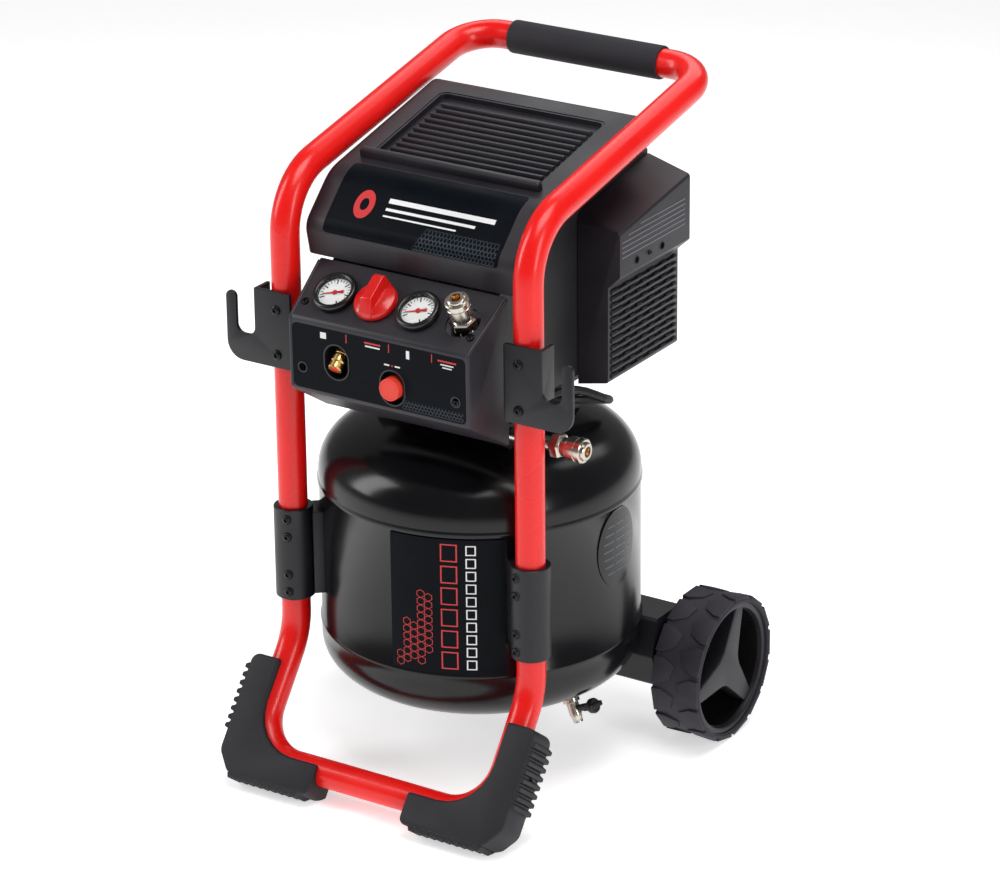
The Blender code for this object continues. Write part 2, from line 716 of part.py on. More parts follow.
def build_panel():
    outline = [(PANEL_BACK_Y, PANEL_LIP_Z), PANEL_FRONT_LOW, PANEL_FRONT_HIGH, (PANEL_BACK_Y, PANEL_TOP_Z)]
    outline = rounded(outline, [0, 0.004, 0.006, 0], steps=3)
    panel = plate("control_panel", outline, 2 * PANEL_HALF, HOUSING, turn=ALONG_X)
    remove_faces(panel, lambda face: all(abs(v.co.x - PANEL_BACK_Y) < 0.0001 for v in face.verts))
    for vert in panel.data.vertices:
        depth = (vert.co.x - PANEL_FRONT_LOW[0]) / (PANEL_BACK_Y - PANEL_FRONT_LOW[0])
        half = PANEL_HALF + (PANEL_BACK_HALF - PANEL_HALF) * max(0.0, depth)
        vert.co.z *= half / PANEL_HALF
    shell(panel, PANEL_WALL)
    slope = slope_angle()
    tilt = (slope, 0, 0)
    for label, x in zip(("tank", "outlet"), GAUGE_X):
        boolean(panel, cylinder(f"gauge_hole_{label}", GAUGE_BODY_RADIUS + GAP, -0.02, 0.02, None,
                                place=on_slope(x, DIAL_ROW), turn=tilt))
        build_gauge(label, x, tilt)
    boolean(panel, cylinder("knob_hole", 0.0065, -0.02, 0.02, None, place=on_slope(KNOB_X, DIAL_ROW),
                            turn=tilt))
    boolean(panel, cylinder("outlet_hole", OUTLET_HOLE, -0.02, 0.02, None,
                            place=on_slope(OUTLET_X, DIAL_ROW), turn=tilt))
    for name, x, z in (("valve", VALVE_X, VALVE_Z), ("button", BUTTON_X, BUTTON_Z)):
        arc = [(RECESS_RADIUS * cos(a), RECESS_RISE * (1 if a < pi else -1) + RECESS_RADIUS * sin(a))
               for a in (k * pi / 8 + pi / 16 for k in range(16))]
        boolean(panel, plate(f"{name}_recess", arc, 0.03, None, place=(x, front_y(z), z), turn=ALONG_Y))
    build_knob(tilt)
    build_button()
    build_safety_valve()


def build_gauge(label, x, tilt):
    """Case with a bezel and a sunk dial, a needle on its own pivot, and a lens over both."""
    place = on_slope(x, DIAL_ROW)
    rim = 0.0070
    profile = [(0.0, 0.0022), (0.0185, 0.0022), (0.0185, rim - 0.001), (0.0195, rim), (GAUGE_RADIUS - 0.001, rim),
               (GAUGE_RADIUS, rim - 0.001), (GAUGE_RADIUS, GAP), (GAUGE_BODY_RADIUS, GAP),
               (GAUGE_BODY_RADIUS, -0.0180), (0.0060, -0.0180), (0.0060, -0.0280), (0.0, -0.0280)]
    turned(f"gauge_case_{label}", profile, DARK_ABS, place=place, turn=tilt)
    pivot = make_empty(f"needle_pivot_{label}", place, tilt, MACHINE)
    needle = cylinder(f"gauge_needle_{label}", 0.0017, 0.0026, 0.0040, RED_PLASTIC, sides=12, parent=pivot)
    pointer = plate(f"pointer_{label}", [(-0.0065, -0.0009), (0.0145, -0.0003), (0.0145, 0.0003),
                                         (-0.0065, 0.0009)], 0.0006, None, place=(0, 0, 0.0032),
                    turn=(0, 0, radians(200)), parent=pivot)
    boolean(needle, pointer, "UNION")
    cylinder(f"gauge_lens_{label}", 0.0182, 0.0046, 0.0058, GLASS, place=place, turn=tilt)


def build_knob(tilt):
    """A cone-sided cap with one tall ridge across it, on the regulator's spindle."""
    base = 0.0010
    pivot = make_empty("knob_pivot", on_slope(KNOB_X, DIAL_ROW), tilt, MACHINE)
    knob = turned("regulator_knob",
                  [(0.0, 0.0105), (0.0170, 0.0095), (KNOB_RADIUS, 0.0045), (KNOB_RADIUS, base),
                   (0.0, base)], RED_PLASTIC, parent=pivot)
    ridge = plate("knob_ridge", rounded([(-0.0185, 0.002), (0.0185, 0.002), (0.0160, KNOB_HEIGHT),
                                         (-0.0110, KNOB_HEIGHT * 0.86)], 0.002, steps=2), 0.011, None,
                  turn=(pi / 2, 0, pi / 2), parent=pivot)
    boolean(knob, ridge, "UNION")
    seat = cylinder("spindle_seat", 0.0042 + GAP, base - 0.001, 0.0075, None, parent=pivot)
    boolean(knob, seat)
    turned("regulator_body",
           [(0.0, 0.0070), (0.0042, 0.0070), (0.0042, -0.0060), (0.0150, -0.0070), (0.0150, -0.0280),
            (0.0190, -0.0290), (0.0190, -0.0340), (0.0, -0.0340)], ALUMINIUM,
           place=on_slope(KNOB_X, DIAL_ROW), turn=tilt)


def build_button():
    face = front_y(BUTTON_Z) - BUTTON_TRAVEL - 0.0015
    cylinder("switch_button", BUTTON_RADIUS, 0.0, 0.0230, RED_PLASTIC,
             place=(BUTTON_X, face + 0.0230, BUTTON_Z), turn=ALONG_Y)
    back = face + 0.0230 + BUTTON_TRAVEL + GAP
    switch = box("pressure_switch", (BUTTON_X - 0.022, back - 0.010, BUTTON_Z - 0.022),
                 (BUTTON_X + 0.034, PANEL_BACK_Y - 0.002, BUTTON_Z + 0.022), DARK_ABS)
    well = cylinder("button_well", BUTTON_RADIUS + GAP, -0.006, 0.020, None,
                    place=(BUTTON_X, back, BUTTON_Z), turn=ALONG_Y)
    boolean(switch, well)


def build_safety_valve():
    """A brass body that points forward and down, with a red pull cap on its pin."""
    a = radians(VALVE_TILT)
    root = (VALVE_X, *VALVE_ROOT)
    turn = (pi / 2 + a, 0, 0)
    body = turned("safety_valve_body",
                  [(0.0, 0.0200), (0.0068, 0.0200), (0.0072, 0.0190), (0.0072, 0.0070), (0.0050, 0.0060),
                   (0.0050, -0.0140), (0.0, -0.0140)], BRASS, place=root, turn=turn)
    boolean(body, cylinder("valve_bore", 0.0020 + GAP, 0.0080, 0.03, None, sides=12, place=root, turn=turn))
    pivot = make_empty("valve_pin_axis", root, turn, MACHINE)
    turned("safety_valve_pin",
           [(0.0, 0.0265), (0.0060, 0.0255), (0.0066, 0.0240), (0.0066, 0.0203), (0.0020, 0.0203),
            (0.0020, 0.0085), (0.0, 0.0085)], RED_PLASTIC, steps=16, parent=pivot)


# ---- quick couplers ----
def build_coupler(label, place, turn, tail):
    """A hexagon body with a bore, and the sprung sleeve that slides on it."""
    body = turned(f"coupler_body_{label}",
                  [(0.0088, 0.0400), (0.0088, 0.0140), (0.0110, 0.0130), (0.0110, 0.0040), (0.0065, 0.0030),
                   (0.0065, -tail), (0.0, -tail), (0.0, 0.0240), (0.0052, 0.0240), (0.0052, 0.0400)],
                  NICKEL, steps=20, closed=False, place=place, turn=turn)
    close_profile(body)
    slide = make_empty(f"sleeve_axis_{label}", place, turn, MACHINE)
    ring(f"coupler_sleeve_{label}", 0.0118, 0.0088 + GAP, 0.0205, 0.0370, NICKEL, parent=slide)


def close_profile(thing):
    """Join the last profile point to the first, so that the turned bore is closed."""
    shape = bmesh.new()
    shape.from_mesh(thing.data)
    shape.verts.ensure_lookup_table()
    shape.edges.new((shape.verts[-1], shape.verts[0]))
    shape.to_mesh(thing.data)
    shape.free()


def build_couplers():
    place = on_slope(OUTLET_X, DIAL_ROW, -0.0100)
    build_coupler("panel", place, (radians(OUTLET_TILT), 0, 0), 0.012)
    build_coupler("side", (SIDE_OUTLET_X, MANIFOLD_Y, MANIFOLD_Z), (0, pi / 2, 0), SIDE_OUTLET_X - MANIFOLD_END)


# ---- covers ----
def deck_z(y):
    return COVER_DECK_Z + (y - COVER_DECK_Y) * DECK_SLOPE


def build_top_cover():
    lower_tail = deck_z(COVER_TAIL_Y) - COVER_SKIRT
    outer = [COVER_CHIN, COVER_BROW, (COVER_DECK_Y - 0.012, deck_z(COVER_DECK_Y - 0.012)),
             (COVER_REAR_Y, deck_z(COVER_REAR_Y)), (COVER_TAIL_Y, lower_tail)]
    inner = [(-0.040, deck_z(-0.040) - COVER_SKIRT), (-0.072, 0.556), (-0.092, COVER_CHIN[1])]
    steps = 5
    outline = rounded(outer + inner, [0, 0.020, 0.046, 0.012, 0, 0.010, 0.010, 0], steps=steps)
    cover = plate("top_cover", outline, 2 * COVER_HALF, HOUSING, turn=ALONG_X)
    tail = 1 + 3 * (steps + 1)      # the chin, then three rounded corners

    def is_underside(face):
        if abs(face.normal.z) > 0.5:
            return False
        centre = face.calc_center_median()
        spots = [Vector((p.x, p.y)) for p in outline[tail:] + outline[:1]]
        for a, b in zip(spots, spots[1:]):
            span = b - a
            t = (Vector(centre[:2]) - a).dot(span) / span.length_squared
            if -0.01 < t < 1.01 and (a + span * t - Vector(centre[:2])).length < 0.0002:
                return True
        return False

    remove_faces(cover, is_underside)
    shell(cover, COVER_WALL)
    slope = atan2(DECK_SLOPE, 1.0)
    hole = box("tray_hole", (-TRAY_HALF, TRAY_FRONT_Y, -0.012), (TRAY_HALF, TRAY_REAR_Y, 0.012), None,
               place=(0, 0, deck_z(0.0)), turn=(slope, 0, 0))
    boolean(cover, hole)
    ledge = box("deck_ledge", (-TRAY_HALF - 0.005, TRAY_FRONT_Y - 0.004 - LEDGE_DEPTH, -0.0015),
                (TRAY_HALF + 0.005, TRAY_FRONT_Y - 0.004, LEDGE_HEIGHT), None,
                place=(0, 0, deck_z(0.0)), turn=(slope, 0, 0))
    boolean(cover, ledge, "UNION")
    build_tray(slope)


def build_tray(slope):
    """A ribbed tray that drops into the deck's opening."""
    place = (0, 0, deck_z(0.0))
    low, high = TRAY_FRONT_Y + GAP, TRAY_REAR_Y - GAP
    half = TRAY_HALF - GAP
    tray = box("storage_tray", (-half, low, -TRAY_DEPTH - 0.002), (half, high, -0.0005), HOUSING,
               place=place, turn=(slope, 0, 0))
    well = box("tray_well", (-half + 0.003, low + 0.003, -TRAY_DEPTH), (half - 0.003, high - 0.003, 0.01),
               None, place=place, turn=(slope, 0, 0))
    boolean(tray, well)
    pitch = (high - low - 0.010) / TRAY_RIBS
    teeth = [(low + 0.001, -0.001), (low + 0.001, 0.001)]
    for number in range(TRAY_RIBS):
        start = low + 0.006 + number * pitch
        teeth += [(start, 0.001), (start, 0.003), (start + pitch * 0.45, 0.003), (start + pitch * 0.45, 0.001)]
    teeth += [(high - 0.001, 0.001), (high - 0.001, -0.001)]
    comb = plate("tray_ribs", teeth, 2 * half - 0.004, None, parent=MACHINE)
    comb.matrix_world = (Matrix.Translation(place) @ Matrix.Rotation(slope, 4, "X")
                         @ Matrix.Translation((0, 0, -TRAY_DEPTH))
                         @ Matrix.Rotation(pi / 2, 4, "Z") @ Matrix.Rotation(pi / 2, 4, "X"))
    boolean(tray, comb, "UNION")


def side_top(y, x):
    """Height of the side cover's sloping roof."""
    across = (x - SIDE_INNER_X) / (SIDE_UPPER_X - SIDE_INNER_X)
    ridge = SIDE_RIDGE + (SIDE_EAVE - SIDE_RIDGE) * across
    return ridge + (y - SIDE_FRONT_Y) * SIDE_RISE


def build_side_covers():
    """A deep side shell, wider above a step, with a slatted intake below the step."""
    section = [(SIDE_INNER_X, SIDE_LOW), (SIDE_LOWER_X, SIDE_LOW + 0.007), (SIDE_LOWER_X, SIDE_STEP_LOW),
               (SIDE_UPPER_X, SIDE_STEP_HIGH), (SIDE_UPPER_X, SIDE_EAVE), (SIDE_INNER_X, SIDE_RIDGE)]
    section = rounded(section, [0, 0.003, 0, 0, 0.004, 0], steps=2)
    depth = SIDE_REAR_Y - SIDE_FRONT_Y
    for side, sign in both_sides():
        outline = [(sign * p.x, p.y, 0.0) for p in section]
        cover = plate(f"side_cover_{side}", outline, depth, HOUSING,
                      place=(0, (SIDE_FRONT_Y + SIDE_REAR_Y) / 2, 0), turn=ALONG_Y)
        remove_faces(cover, lambda face: all(abs(abs(v.co.x) - SIDE_INNER_X) < 0.0001 for v in face.verts))
        for vert in cover.data.vertices:
            if vert.co.y > SIDE_STEP_HIGH + 0.01:
                vert.co.y += (depth / 2 - vert.co.z) * SIDE_RISE
        shell(cover, SIDE_WALL)
        cut_slats(cover, side, sign)


def cut_slats(cover, side, sign):
    """Long intake slots, cut by one comb for each cover."""
    pitch = (SIDE_STEP_LOW - SIDE_LOW - 0.020) / SLATS
    comb = []
    x = 0.0
    spine = 0.006
    for number in range(SLATS):
        z = SIDE_LOW + 0.014 + number * pitch
        comb += [(x, z), (x - spine, z), (x - spine, z + pitch * 0.3), (x, z + pitch * 0.3)]
    top = SIDE_LOW + 0.014 + SLATS * pitch
    comb += [(x, top), (x + spine, top), (x + spine, SIDE_LOW + 0.01), (x, SIDE_LOW + 0.01)]
    outline = [(sign * (SIDE_LOWER_X + 0.0035 + px), pz, 0.0) for px, pz in comb]
    tool = plate(f"side_slots_{side}", outline, SIDE_REAR_Y - SIDE_FRONT_Y - 2 * SLOT_INSET, None,
                 place=(0, (SIDE_FRONT_Y + SIDE_REAR_Y) / 2, 0), turn=ALONG_Y)
    boolean(cover, tool)


def build_body():
    """The inner housing between the covers: an open-topped box."""
    low_front = COVER_CHIN[1] - 0.004
    top_front = deck_z(-0.050) - COVER_SKIRT - 0.012
    top_rear = deck_z(BODY_REAR_Y - 0.02) - COVER_SKIRT - 0.012
    outline = [(BODY_FRONT_Y, BODY_LOW), (BODY_REAR_Y, BODY_LOW), (BODY_REAR_Y, top_rear - 0.02),
               (COVER_TAIL_Y - 0.008, top_rear), (-0.050, top_front), (BODY_FRONT_Y, low_front)]
    body = plate("housing_body", outline, 2 * BODY_HALF, DARK_ABS, turn=ALONG_X)

    def is_top(face):
        if abs(face.normal.z) > 0.5:
            return False
        return face.normal.y > 0.3

    remove_faces(body, is_top)
    shell(body, BODY_WALL)
    window = box("panel_window", (-0.080, BODY_FRONT_Y - 0.01, 0.392), (0.080, BODY_FRONT_Y + 0.01, 0.500), None)
    boolean(body, window)
    floor = box("platform_window", (-PLATFORM_HALF - 0.001, PLATFORM_Y[0] - 0.001, BODY_LOW - 0.01),
                (PLATFORM_HALF + 0.001, PLATFORM_Y[1] + 0.001, BODY_LOW + 0.01), None)
    boolean(body, floor)
    gland_place = (-0.050, BODY_REAR_Y, 0.410)
    boolean(body, cylinder("gland_hole", 0.0075, -0.02, 0.02, None, place=gland_place, turn=ALONG_Y))
    turned("cable_gland",
           [(0.0045, 0.0040), (0.0072, 0.0040), (0.0072, -0.0003), (0.0100, -0.0003), (0.0100, -0.0040),
            (0.0075, -0.0200), (0.0045, -0.0200)], DARK_ABS, steps=20, closed=True,
           place=gland_place, turn=ALONG_Y)
    for side, sign in both_sides():
        for number in range(2):
            y = SIDE_FRONT_Y + 0.030 + number * 0.055
            name = f"side_port_{side}_{number}"
            port = box(name, (-0.02, y, 0.415), (0.02, y + 0.042, 0.505), None,
                       place=(sign * BODY_HALF, 0, 0))
            boolean(body, port)


# ---- pump ----
def build_platform():
    box("pump_platform", (-PLATFORM_HALF, PLATFORM_Y[0], PLATFORM_Z),
        (PLATFORM_HALF, PLATFORM_Y[1], PLATFORM_Z + PLATFORM_THICK), BLACK_PAINT, bevel=0.001)
    top = PLATFORM_Z - MOUNT_HEIGHT - 2 * GAP
    saddle = box("tank_saddle", (-SADDLE_HALF[0], -SADDLE_HALF[1], TANK_SEAM_HIGH + 0.030),
                 (SADDLE_HALF[0], SADDLE_HALF[1], top), BLACK_PAINT)
    boolean(saddle, tank_envelope("saddle_seat"))
    middle = cylinder("saddle_port", TANK_PORT_RADIUS + 0.006, -0.05, 0.05, None, place=(0, 0, top))
    boolean(saddle, middle)
    number = 0
    for x in (-MOUNT_X, MOUNT_X):
        for y in (-MOUNT_Y, MOUNT_Y):
            number += 1
            low = PLATFORM_Z - MOUNT_HEIGHT - GAP
            turned(f"rubber_mount_{number}",
                   [(0.0, MOUNT_HEIGHT), (MOUNT_RADIUS, MOUNT_HEIGHT), (MOUNT_RADIUS, MOUNT_HEIGHT * 0.75),
                    (MOUNT_RADIUS * 0.8, MOUNT_HEIGHT * 0.5), (MOUNT_RADIUS, MOUNT_HEIGHT * 0.25),
                    (MOUNT_RADIUS, 0.0), (0.0, 0.0)], RUBBER, steps=16, place=(x, y, low))


def build_pump():
    floor = PLATFORM_Z + PLATFORM_THICK + GAP
    axis = dict(place=(0, SHAFT_Y, SHAFT_Z), turn=(0, pi / 2, 0))
    ring("motor_stator", STATOR_RADIUS, STATOR_BORE, -STATOR_HALF, STATOR_HALF, STEEL, **axis)
    for side, sign in both_sides():
        low_x, high_x = sorted((sign * CRANK_X[0], sign * CRANK_X[1]))
        crank = box(f"crankcase_{side}", (low_x, SHAFT_Y - CRANK_HALF, floor),
                    (high_x, SHAFT_Y + CRANK_HALF, CRANK_TOP), ALUMINIUM, bevel=0.003)
        boolean(crank, cylinder(crank.name + "_bearing", SHAFT_RADIUS + GAP, -0.12, 0.12, None, **axis))
        build_head(side, low_x, high_x)
    rotor_centre = make_empty("rotor_centre", (0, SHAFT_Y, SHAFT_Z), (0, pi / 2, 0), MACHINE)
    turned("rotor_shaft",
           [(0.0, FAN_X + 0.012), (SHAFT_RADIUS, FAN_X + 0.012), (SHAFT_RADIUS, ROTOR_HALF),
            (ROTOR_RADIUS, ROTOR_HALF), (ROTOR_RADIUS, -ROTOR_HALF), (SHAFT_RADIUS, -ROTOR_HALF),
            (SHAFT_RADIUS, -CRANK_X[1] - 0.010), (0.0, -CRANK_X[1] - 0.010)], STEEL, parent=rotor_centre)
    fan = plate("cooling_fan", fan_outline(), 0.010, DARK_ABS, place=(0, 0, FAN_X + 0.005), parent=rotor_centre)
    boolean(fan, cylinder("fan_bore", SHAFT_RADIUS + GAP, FAN_X - 0.01, FAN_X + 0.03, None,
                          parent=rotor_centre))


def fan_outline():
    """Seven swept blades round a hub, as one flat outline."""
    points = []
    blades = 7
    for number in range(blades):
        a = 2 * pi * number / blades
        for r, shift in ((0.014, 0.0), (FAN_RADIUS, 0.25), (FAN_RADIUS, 0.62), (0.014, 0.55)):
            points.append((r * cos(a + shift), r * sin(a + shift)))
    return points


def build_head(side, low_x, high_x):
    """A finned cylinder head on its crankcase."""
    low = CRANK_TOP + GAP
    fins = 5
    pitch = (HEAD_TOP - low) / fins
    half = CRANK_HALF - 0.004
    right = []
    for number in range(fins):
        z = low + number * pitch
        right += [(half - 0.006, z), (half - 0.006, z + pitch * 0.5), (half, z + pitch * 0.5), (half, z + pitch)]
    outline = right + [(-y, z) for y, z in reversed(right)]
    plate(f"cylinder_head_{side}", outline, high_x - low_x, ALUMINIUM,
          place=((low_x + high_x) / 2, SHAFT_Y, 0), turn=ALONG_X)


def build_air_path():
    """Manifold behind the panel, check valve on the tank's top port, and the discharge hose."""
    top = TANK_SEAM_HIGH + DOME_HIGH
    turned("check_valve",
           [(0.0, 0.0125), (0.0085, 0.0125), (0.0085, 0.0015), (0.0072, 0.0015), (0.0072, -0.0080),
            (0.0, -0.0080)], BRASS, steps=20, place=(0, 0, top))
    cylinder("air_manifold", MANIFOLD_RADIUS, -0.070, MANIFOLD_END - GAP, ALUMINIUM, sides=16,
             place=(0, MANIFOLD_Y, MANIFOLD_Z), turn=(0, pi / 2, 0))
    tube("discharge_hose", smooth_path(HOSE_ROUTE, 3), HOSE_RADIUS, HOSE, sides=8)


def centre_machine():
    """Put the world origin under the middle of the machine's depth."""
    bpy.context.view_layer.update()
    graph = bpy.context.evaluated_depsgraph_get()
    depths = []
    for thing in PARTS.objects:
        seen = thing.evaluated_get(graph)
        mesh = seen.to_mesh()
        depths += [(thing.matrix_world @ v.co).y for v in mesh.vertices]
        seen.to_mesh_clear()
    MACHINE.location.y = -(min(depths) + max(depths)) / 2


build_frame()
build_tank()
build_hooks()
build_feet()
build_wheels()
build_panel()
build_couplers()
build_top_cover()
build_side_covers()
build_body()
build_platform()
build_pump()
build_air_path()
centre_machine()
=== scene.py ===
"""Looks of the upright wheeled air compressor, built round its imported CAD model."""
import json
from math import atan2, cos, pi, radians, sin, sqrt, tan

import bmesh
import bpy
from mathutils import Matrix, Vector


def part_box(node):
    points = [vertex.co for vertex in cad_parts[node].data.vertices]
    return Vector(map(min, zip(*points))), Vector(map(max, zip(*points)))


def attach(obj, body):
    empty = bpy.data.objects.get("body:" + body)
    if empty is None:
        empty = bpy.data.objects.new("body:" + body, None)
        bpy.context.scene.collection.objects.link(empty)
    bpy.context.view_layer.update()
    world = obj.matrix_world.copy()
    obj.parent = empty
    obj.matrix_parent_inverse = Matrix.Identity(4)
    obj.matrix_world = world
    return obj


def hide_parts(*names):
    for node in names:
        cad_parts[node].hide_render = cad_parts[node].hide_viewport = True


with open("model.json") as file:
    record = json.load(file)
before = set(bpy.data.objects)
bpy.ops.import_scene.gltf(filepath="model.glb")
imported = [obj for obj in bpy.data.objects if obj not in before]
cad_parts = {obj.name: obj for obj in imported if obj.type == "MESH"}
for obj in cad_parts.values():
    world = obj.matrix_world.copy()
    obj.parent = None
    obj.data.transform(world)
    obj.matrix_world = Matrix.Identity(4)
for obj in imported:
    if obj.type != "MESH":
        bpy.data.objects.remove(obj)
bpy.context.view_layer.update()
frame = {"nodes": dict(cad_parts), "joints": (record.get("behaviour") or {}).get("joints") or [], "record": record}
MM = 0.001

# The layout is in millimetres from the tank's axis, as the part's own source has it.
TANK_LOW, TANK_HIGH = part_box("air_tank")
AXIS_Y = (TANK_LOW.y + TANK_HIGH.y) / 2
TANK_R = (TANK_HIGH.x - TANK_LOW.x) / 2 / MM


def at(x, y, z):
    """A place in metres, from millimetres right of, behind and above the tank's foot."""
    return Vector((x * MM, AXIS_Y + y * MM, z * MM))


# ---- workshop: how pieces are begun, shaped and handed over ----
def alone(piece):
    bpy.ops.object.select_all(action="DESELECT")
    piece.select_set(True)
    bpy.context.view_layer.objects.active = piece
    return piece


def settle(name, size=None):
    """Name the piece just added and put its place and size into its mesh."""
    piece = alone(bpy.context.object)
    if size:
        piece.scale = size
    piece.name = name
    piece.data.name = name
    bpy.ops.object.transform_apply(location=True, rotation=True, scale=True)
    return piece


def fix_at(piece, matrix):
    """Put a piece where a matrix says, and take that into its mesh."""
    piece.matrix_world = matrix
    alone(piece)
    bpy.ops.object.transform_apply(location=True, rotation=True, scale=True)
    return piece


def begin(piece, kind="VERT"):
    alone(piece)
    bpy.ops.object.mode_set(mode="EDIT")
    bpy.ops.mesh.select_mode(type=kind)
    bpy.ops.mesh.select_all(action="SELECT")
    return piece


def done():
    bpy.ops.object.mode_set(mode="OBJECT")


def pick(piece, kind, wanted):
    """In edit mode, select the faces, edges or vertices that are wanted."""
    bpy.ops.mesh.select_mode(type=kind)
    bpy.ops.mesh.select_all(action="DESELECT")
    shape = bmesh.from_edit_mesh(piece.data)
    for item in {"FACE": shape.faces, "EDGE": shape.edges, "VERT": shape.verts}[kind]:
        if wanted(item):
            item.select_set(True)
    shape.select_flush_mode()
    bmesh.update_edit_mesh(piece.data)


def pull(step):
    bpy.ops.mesh.extrude_region_move(TRANSFORM_OT_translate={"value": step})


def face_out():
    """Weld what meets and turn every face outwards."""
    bpy.ops.mesh.select_all(action="SELECT")
    bpy.ops.mesh.remove_doubles(threshold=0.00001)
    bpy.ops.mesh.normals_make_consistent(inside=False)


def trace(name, points):
    """Draw a line as by hand: one vertex, pulled from point to point."""
    bpy.ops.object.select_all(action="DESELECT")
    bpy.ops.mesh.primitive_plane_add(size=0.01)
    piece = begin(settle(name))
    bpy.ops.mesh.merge(type="CENTER")
    bpy.ops.transform.translate(value=points[0])
    for here, there in zip(points, points[1:]):
        pull(Vector(there) - Vector(here))
    return piece


def apply_all(piece):
    alone(piece)
    for change in list(piece.modifiers):
        bpy.ops.object.modifier_apply(modifier=change.name)
    return piece


def round_edges(piece, width, segments=2, angle=30):
    change = piece.modifiers.new("rounding", "BEVEL")
    change.width = width
    change.segments = segments
    change.limit_method = "ANGLE"
    change.angle_limit = radians(angle)
    return apply_all(piece)


def slab(name, outline, depth, bevel=0.0, segments=2):
    """A flat outline, filled and drawn out by the vector depth."""
    piece = trace(name, list(outline) + [outline[0]])
    bpy.ops.mesh.select_all(action="SELECT")
    bpy.ops.mesh.remove_doubles(threshold=0.00001)
    bpy.ops.mesh.edge_face_add()
    pull(depth)
    face_out()
    done()
    if bevel:
        round_edges(piece, bevel, segments)
    return piece


def block(name, low, high, bevel=0.0, segments=2):
    bpy.ops.object.select_all(action="DESELECT")
    bpy.ops.mesh.primitive_cube_add(size=1, location=(low + high) / 2)
    piece = settle(name, [abs(span) for span in high - low])
    if bevel:
        round_edges(piece, bevel, segments)
    return piece


def stand(piece, place, direction=(0, 0, 1), roll=0.0):
    """Move a piece made about the origin: its Z to a direction, its foot to a place."""
    turn = Vector((0, 0, 1)).rotation_difference(Vector(direction)).to_matrix().to_4x4()
    return fix_at(piece, Matrix.Translation(place) @ turn @ Matrix.Rotation(roll, 4, "Z"))


def turned(name, profile, place=(0, 0, 0), direction=(0, 0, 1), steps=48, roll=0.0):
    """A profile of (radius, height) in millimetres, spun all round."""
    piece = trace(name, [Vector((r * MM, 0, h * MM)) for r, h in profile])
    bpy.ops.mesh.select_all(action="SELECT")
    bpy.ops.mesh.spin(steps=steps, angle=2 * pi, center=(0, 0, 0), axis=(0, 0, 1))
    face_out()
    done()
    return stand(piece, Vector(place), direction, roll)


def carve(piece, tool, operation="DIFFERENCE"):
    change = piece.modifiers.new("carve", "BOOLEAN")
    change.operation = operation
    change.object = tool
    change.solver = "EXACT"
    apply_all(piece)
    bpy.data.objects.remove(tool, do_unlink=True)
    return piece


def weld(pieces, name):
    """Several solids of one material as one piece."""
    bpy.ops.object.select_all(action="DESELECT")
    for piece in pieces:
        piece.select_set(True)
    bpy.context.view_layer.objects.active = pieces[0]
    bpy.ops.object.join()
    return settle(name)


def copy_of(piece, name, change):
    """A copy with its own mesh, moved by a matrix and turned right way out if mirrored."""
    twin = bpy.data.objects.new(name, piece.data.copy())
    bpy.context.scene.collection.objects.link(twin)
    fix_at(twin, change)
    if change.determinant() < 0:
        begin(twin)
        bpy.ops.mesh.flip_normals()
        done()
    return twin


MIRROR = Matrix.Diagonal((-1, 1, 1, 1))
SIDES = (("right", Matrix.Identity(4)), ("left", MIRROR))


def throw_away(*pieces):
    """Remove the patterns that copies were taken from."""
    for piece in pieces:
        bpy.data.objects.remove(piece)


def rounded(points, radii, steps=6, closed=True):
    """Replace corners of a path by arcs; a radius of 0 keeps the corner."""
    points = [Vector(p) for p in points]
    if not hasattr(radii, "__len__"):
        radii = [radii] * len(points)
    path = []
    for i, corner in enumerate(points):
        if radii[i] <= 0 or (not closed and i in (0, len(points) - 1)):
            path.append(corner)
            continue
        back = (points[i - 1] - corner).normalized()
        ahead = (points[(i + 1) % len(points)] - corner).normalized()
        half = back.angle(ahead) / 2
        centre = corner + (back + ahead).normalized() * (radii[i] / sin(half))
        start = corner + back * (radii[i] / tan(half)) - centre
        stop = corner + ahead * (radii[i] / tan(half)) - centre
        sweep = start.angle(stop)
        for k in range(steps + 1):
            t = k / steps
            path.append(centre + (start * sin((1 - t) * sweep) + stop * sin(t * sweep)) / sin(sweep))
    return path


def hand_over(piece, finish, body, slot, *nodes, angle=32):
    """Give a piece its finish, smooth shading and its body, and hide the CAD nodes that it stands for."""
    piece.data.materials.clear()
    piece.data.materials.append(finish)
    alone(piece)
    bpy.ops.object.shade_smooth_by_angle(angle=radians(angle))
    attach(piece, body)
    if nodes:
        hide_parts(*nodes)
    return piece


# ---- finishes ----
def linear(code):
    """An sRGB hex colour as the linear values a shader takes."""
    parts = [int(code[i:i + 2], 16) / 255 for i in (1, 3, 5)]
    return (*(c / 12.92 if c <= 0.04045 else ((c + 0.055) / 1.055) ** 2.4 for c in parts), 1.0)


def add(tree, kind, inputs=None, **settings):
    node = tree.nodes.new(kind)
    for key, value in settings.items():
        setattr(node, key, value)
    for key, value in (inputs or {}).items():
        if isinstance(value, bpy.types.NodeSocket):
            tree.links.new(value, node.inputs[key])
        else:
            node.inputs[key].default_value = value
    return node


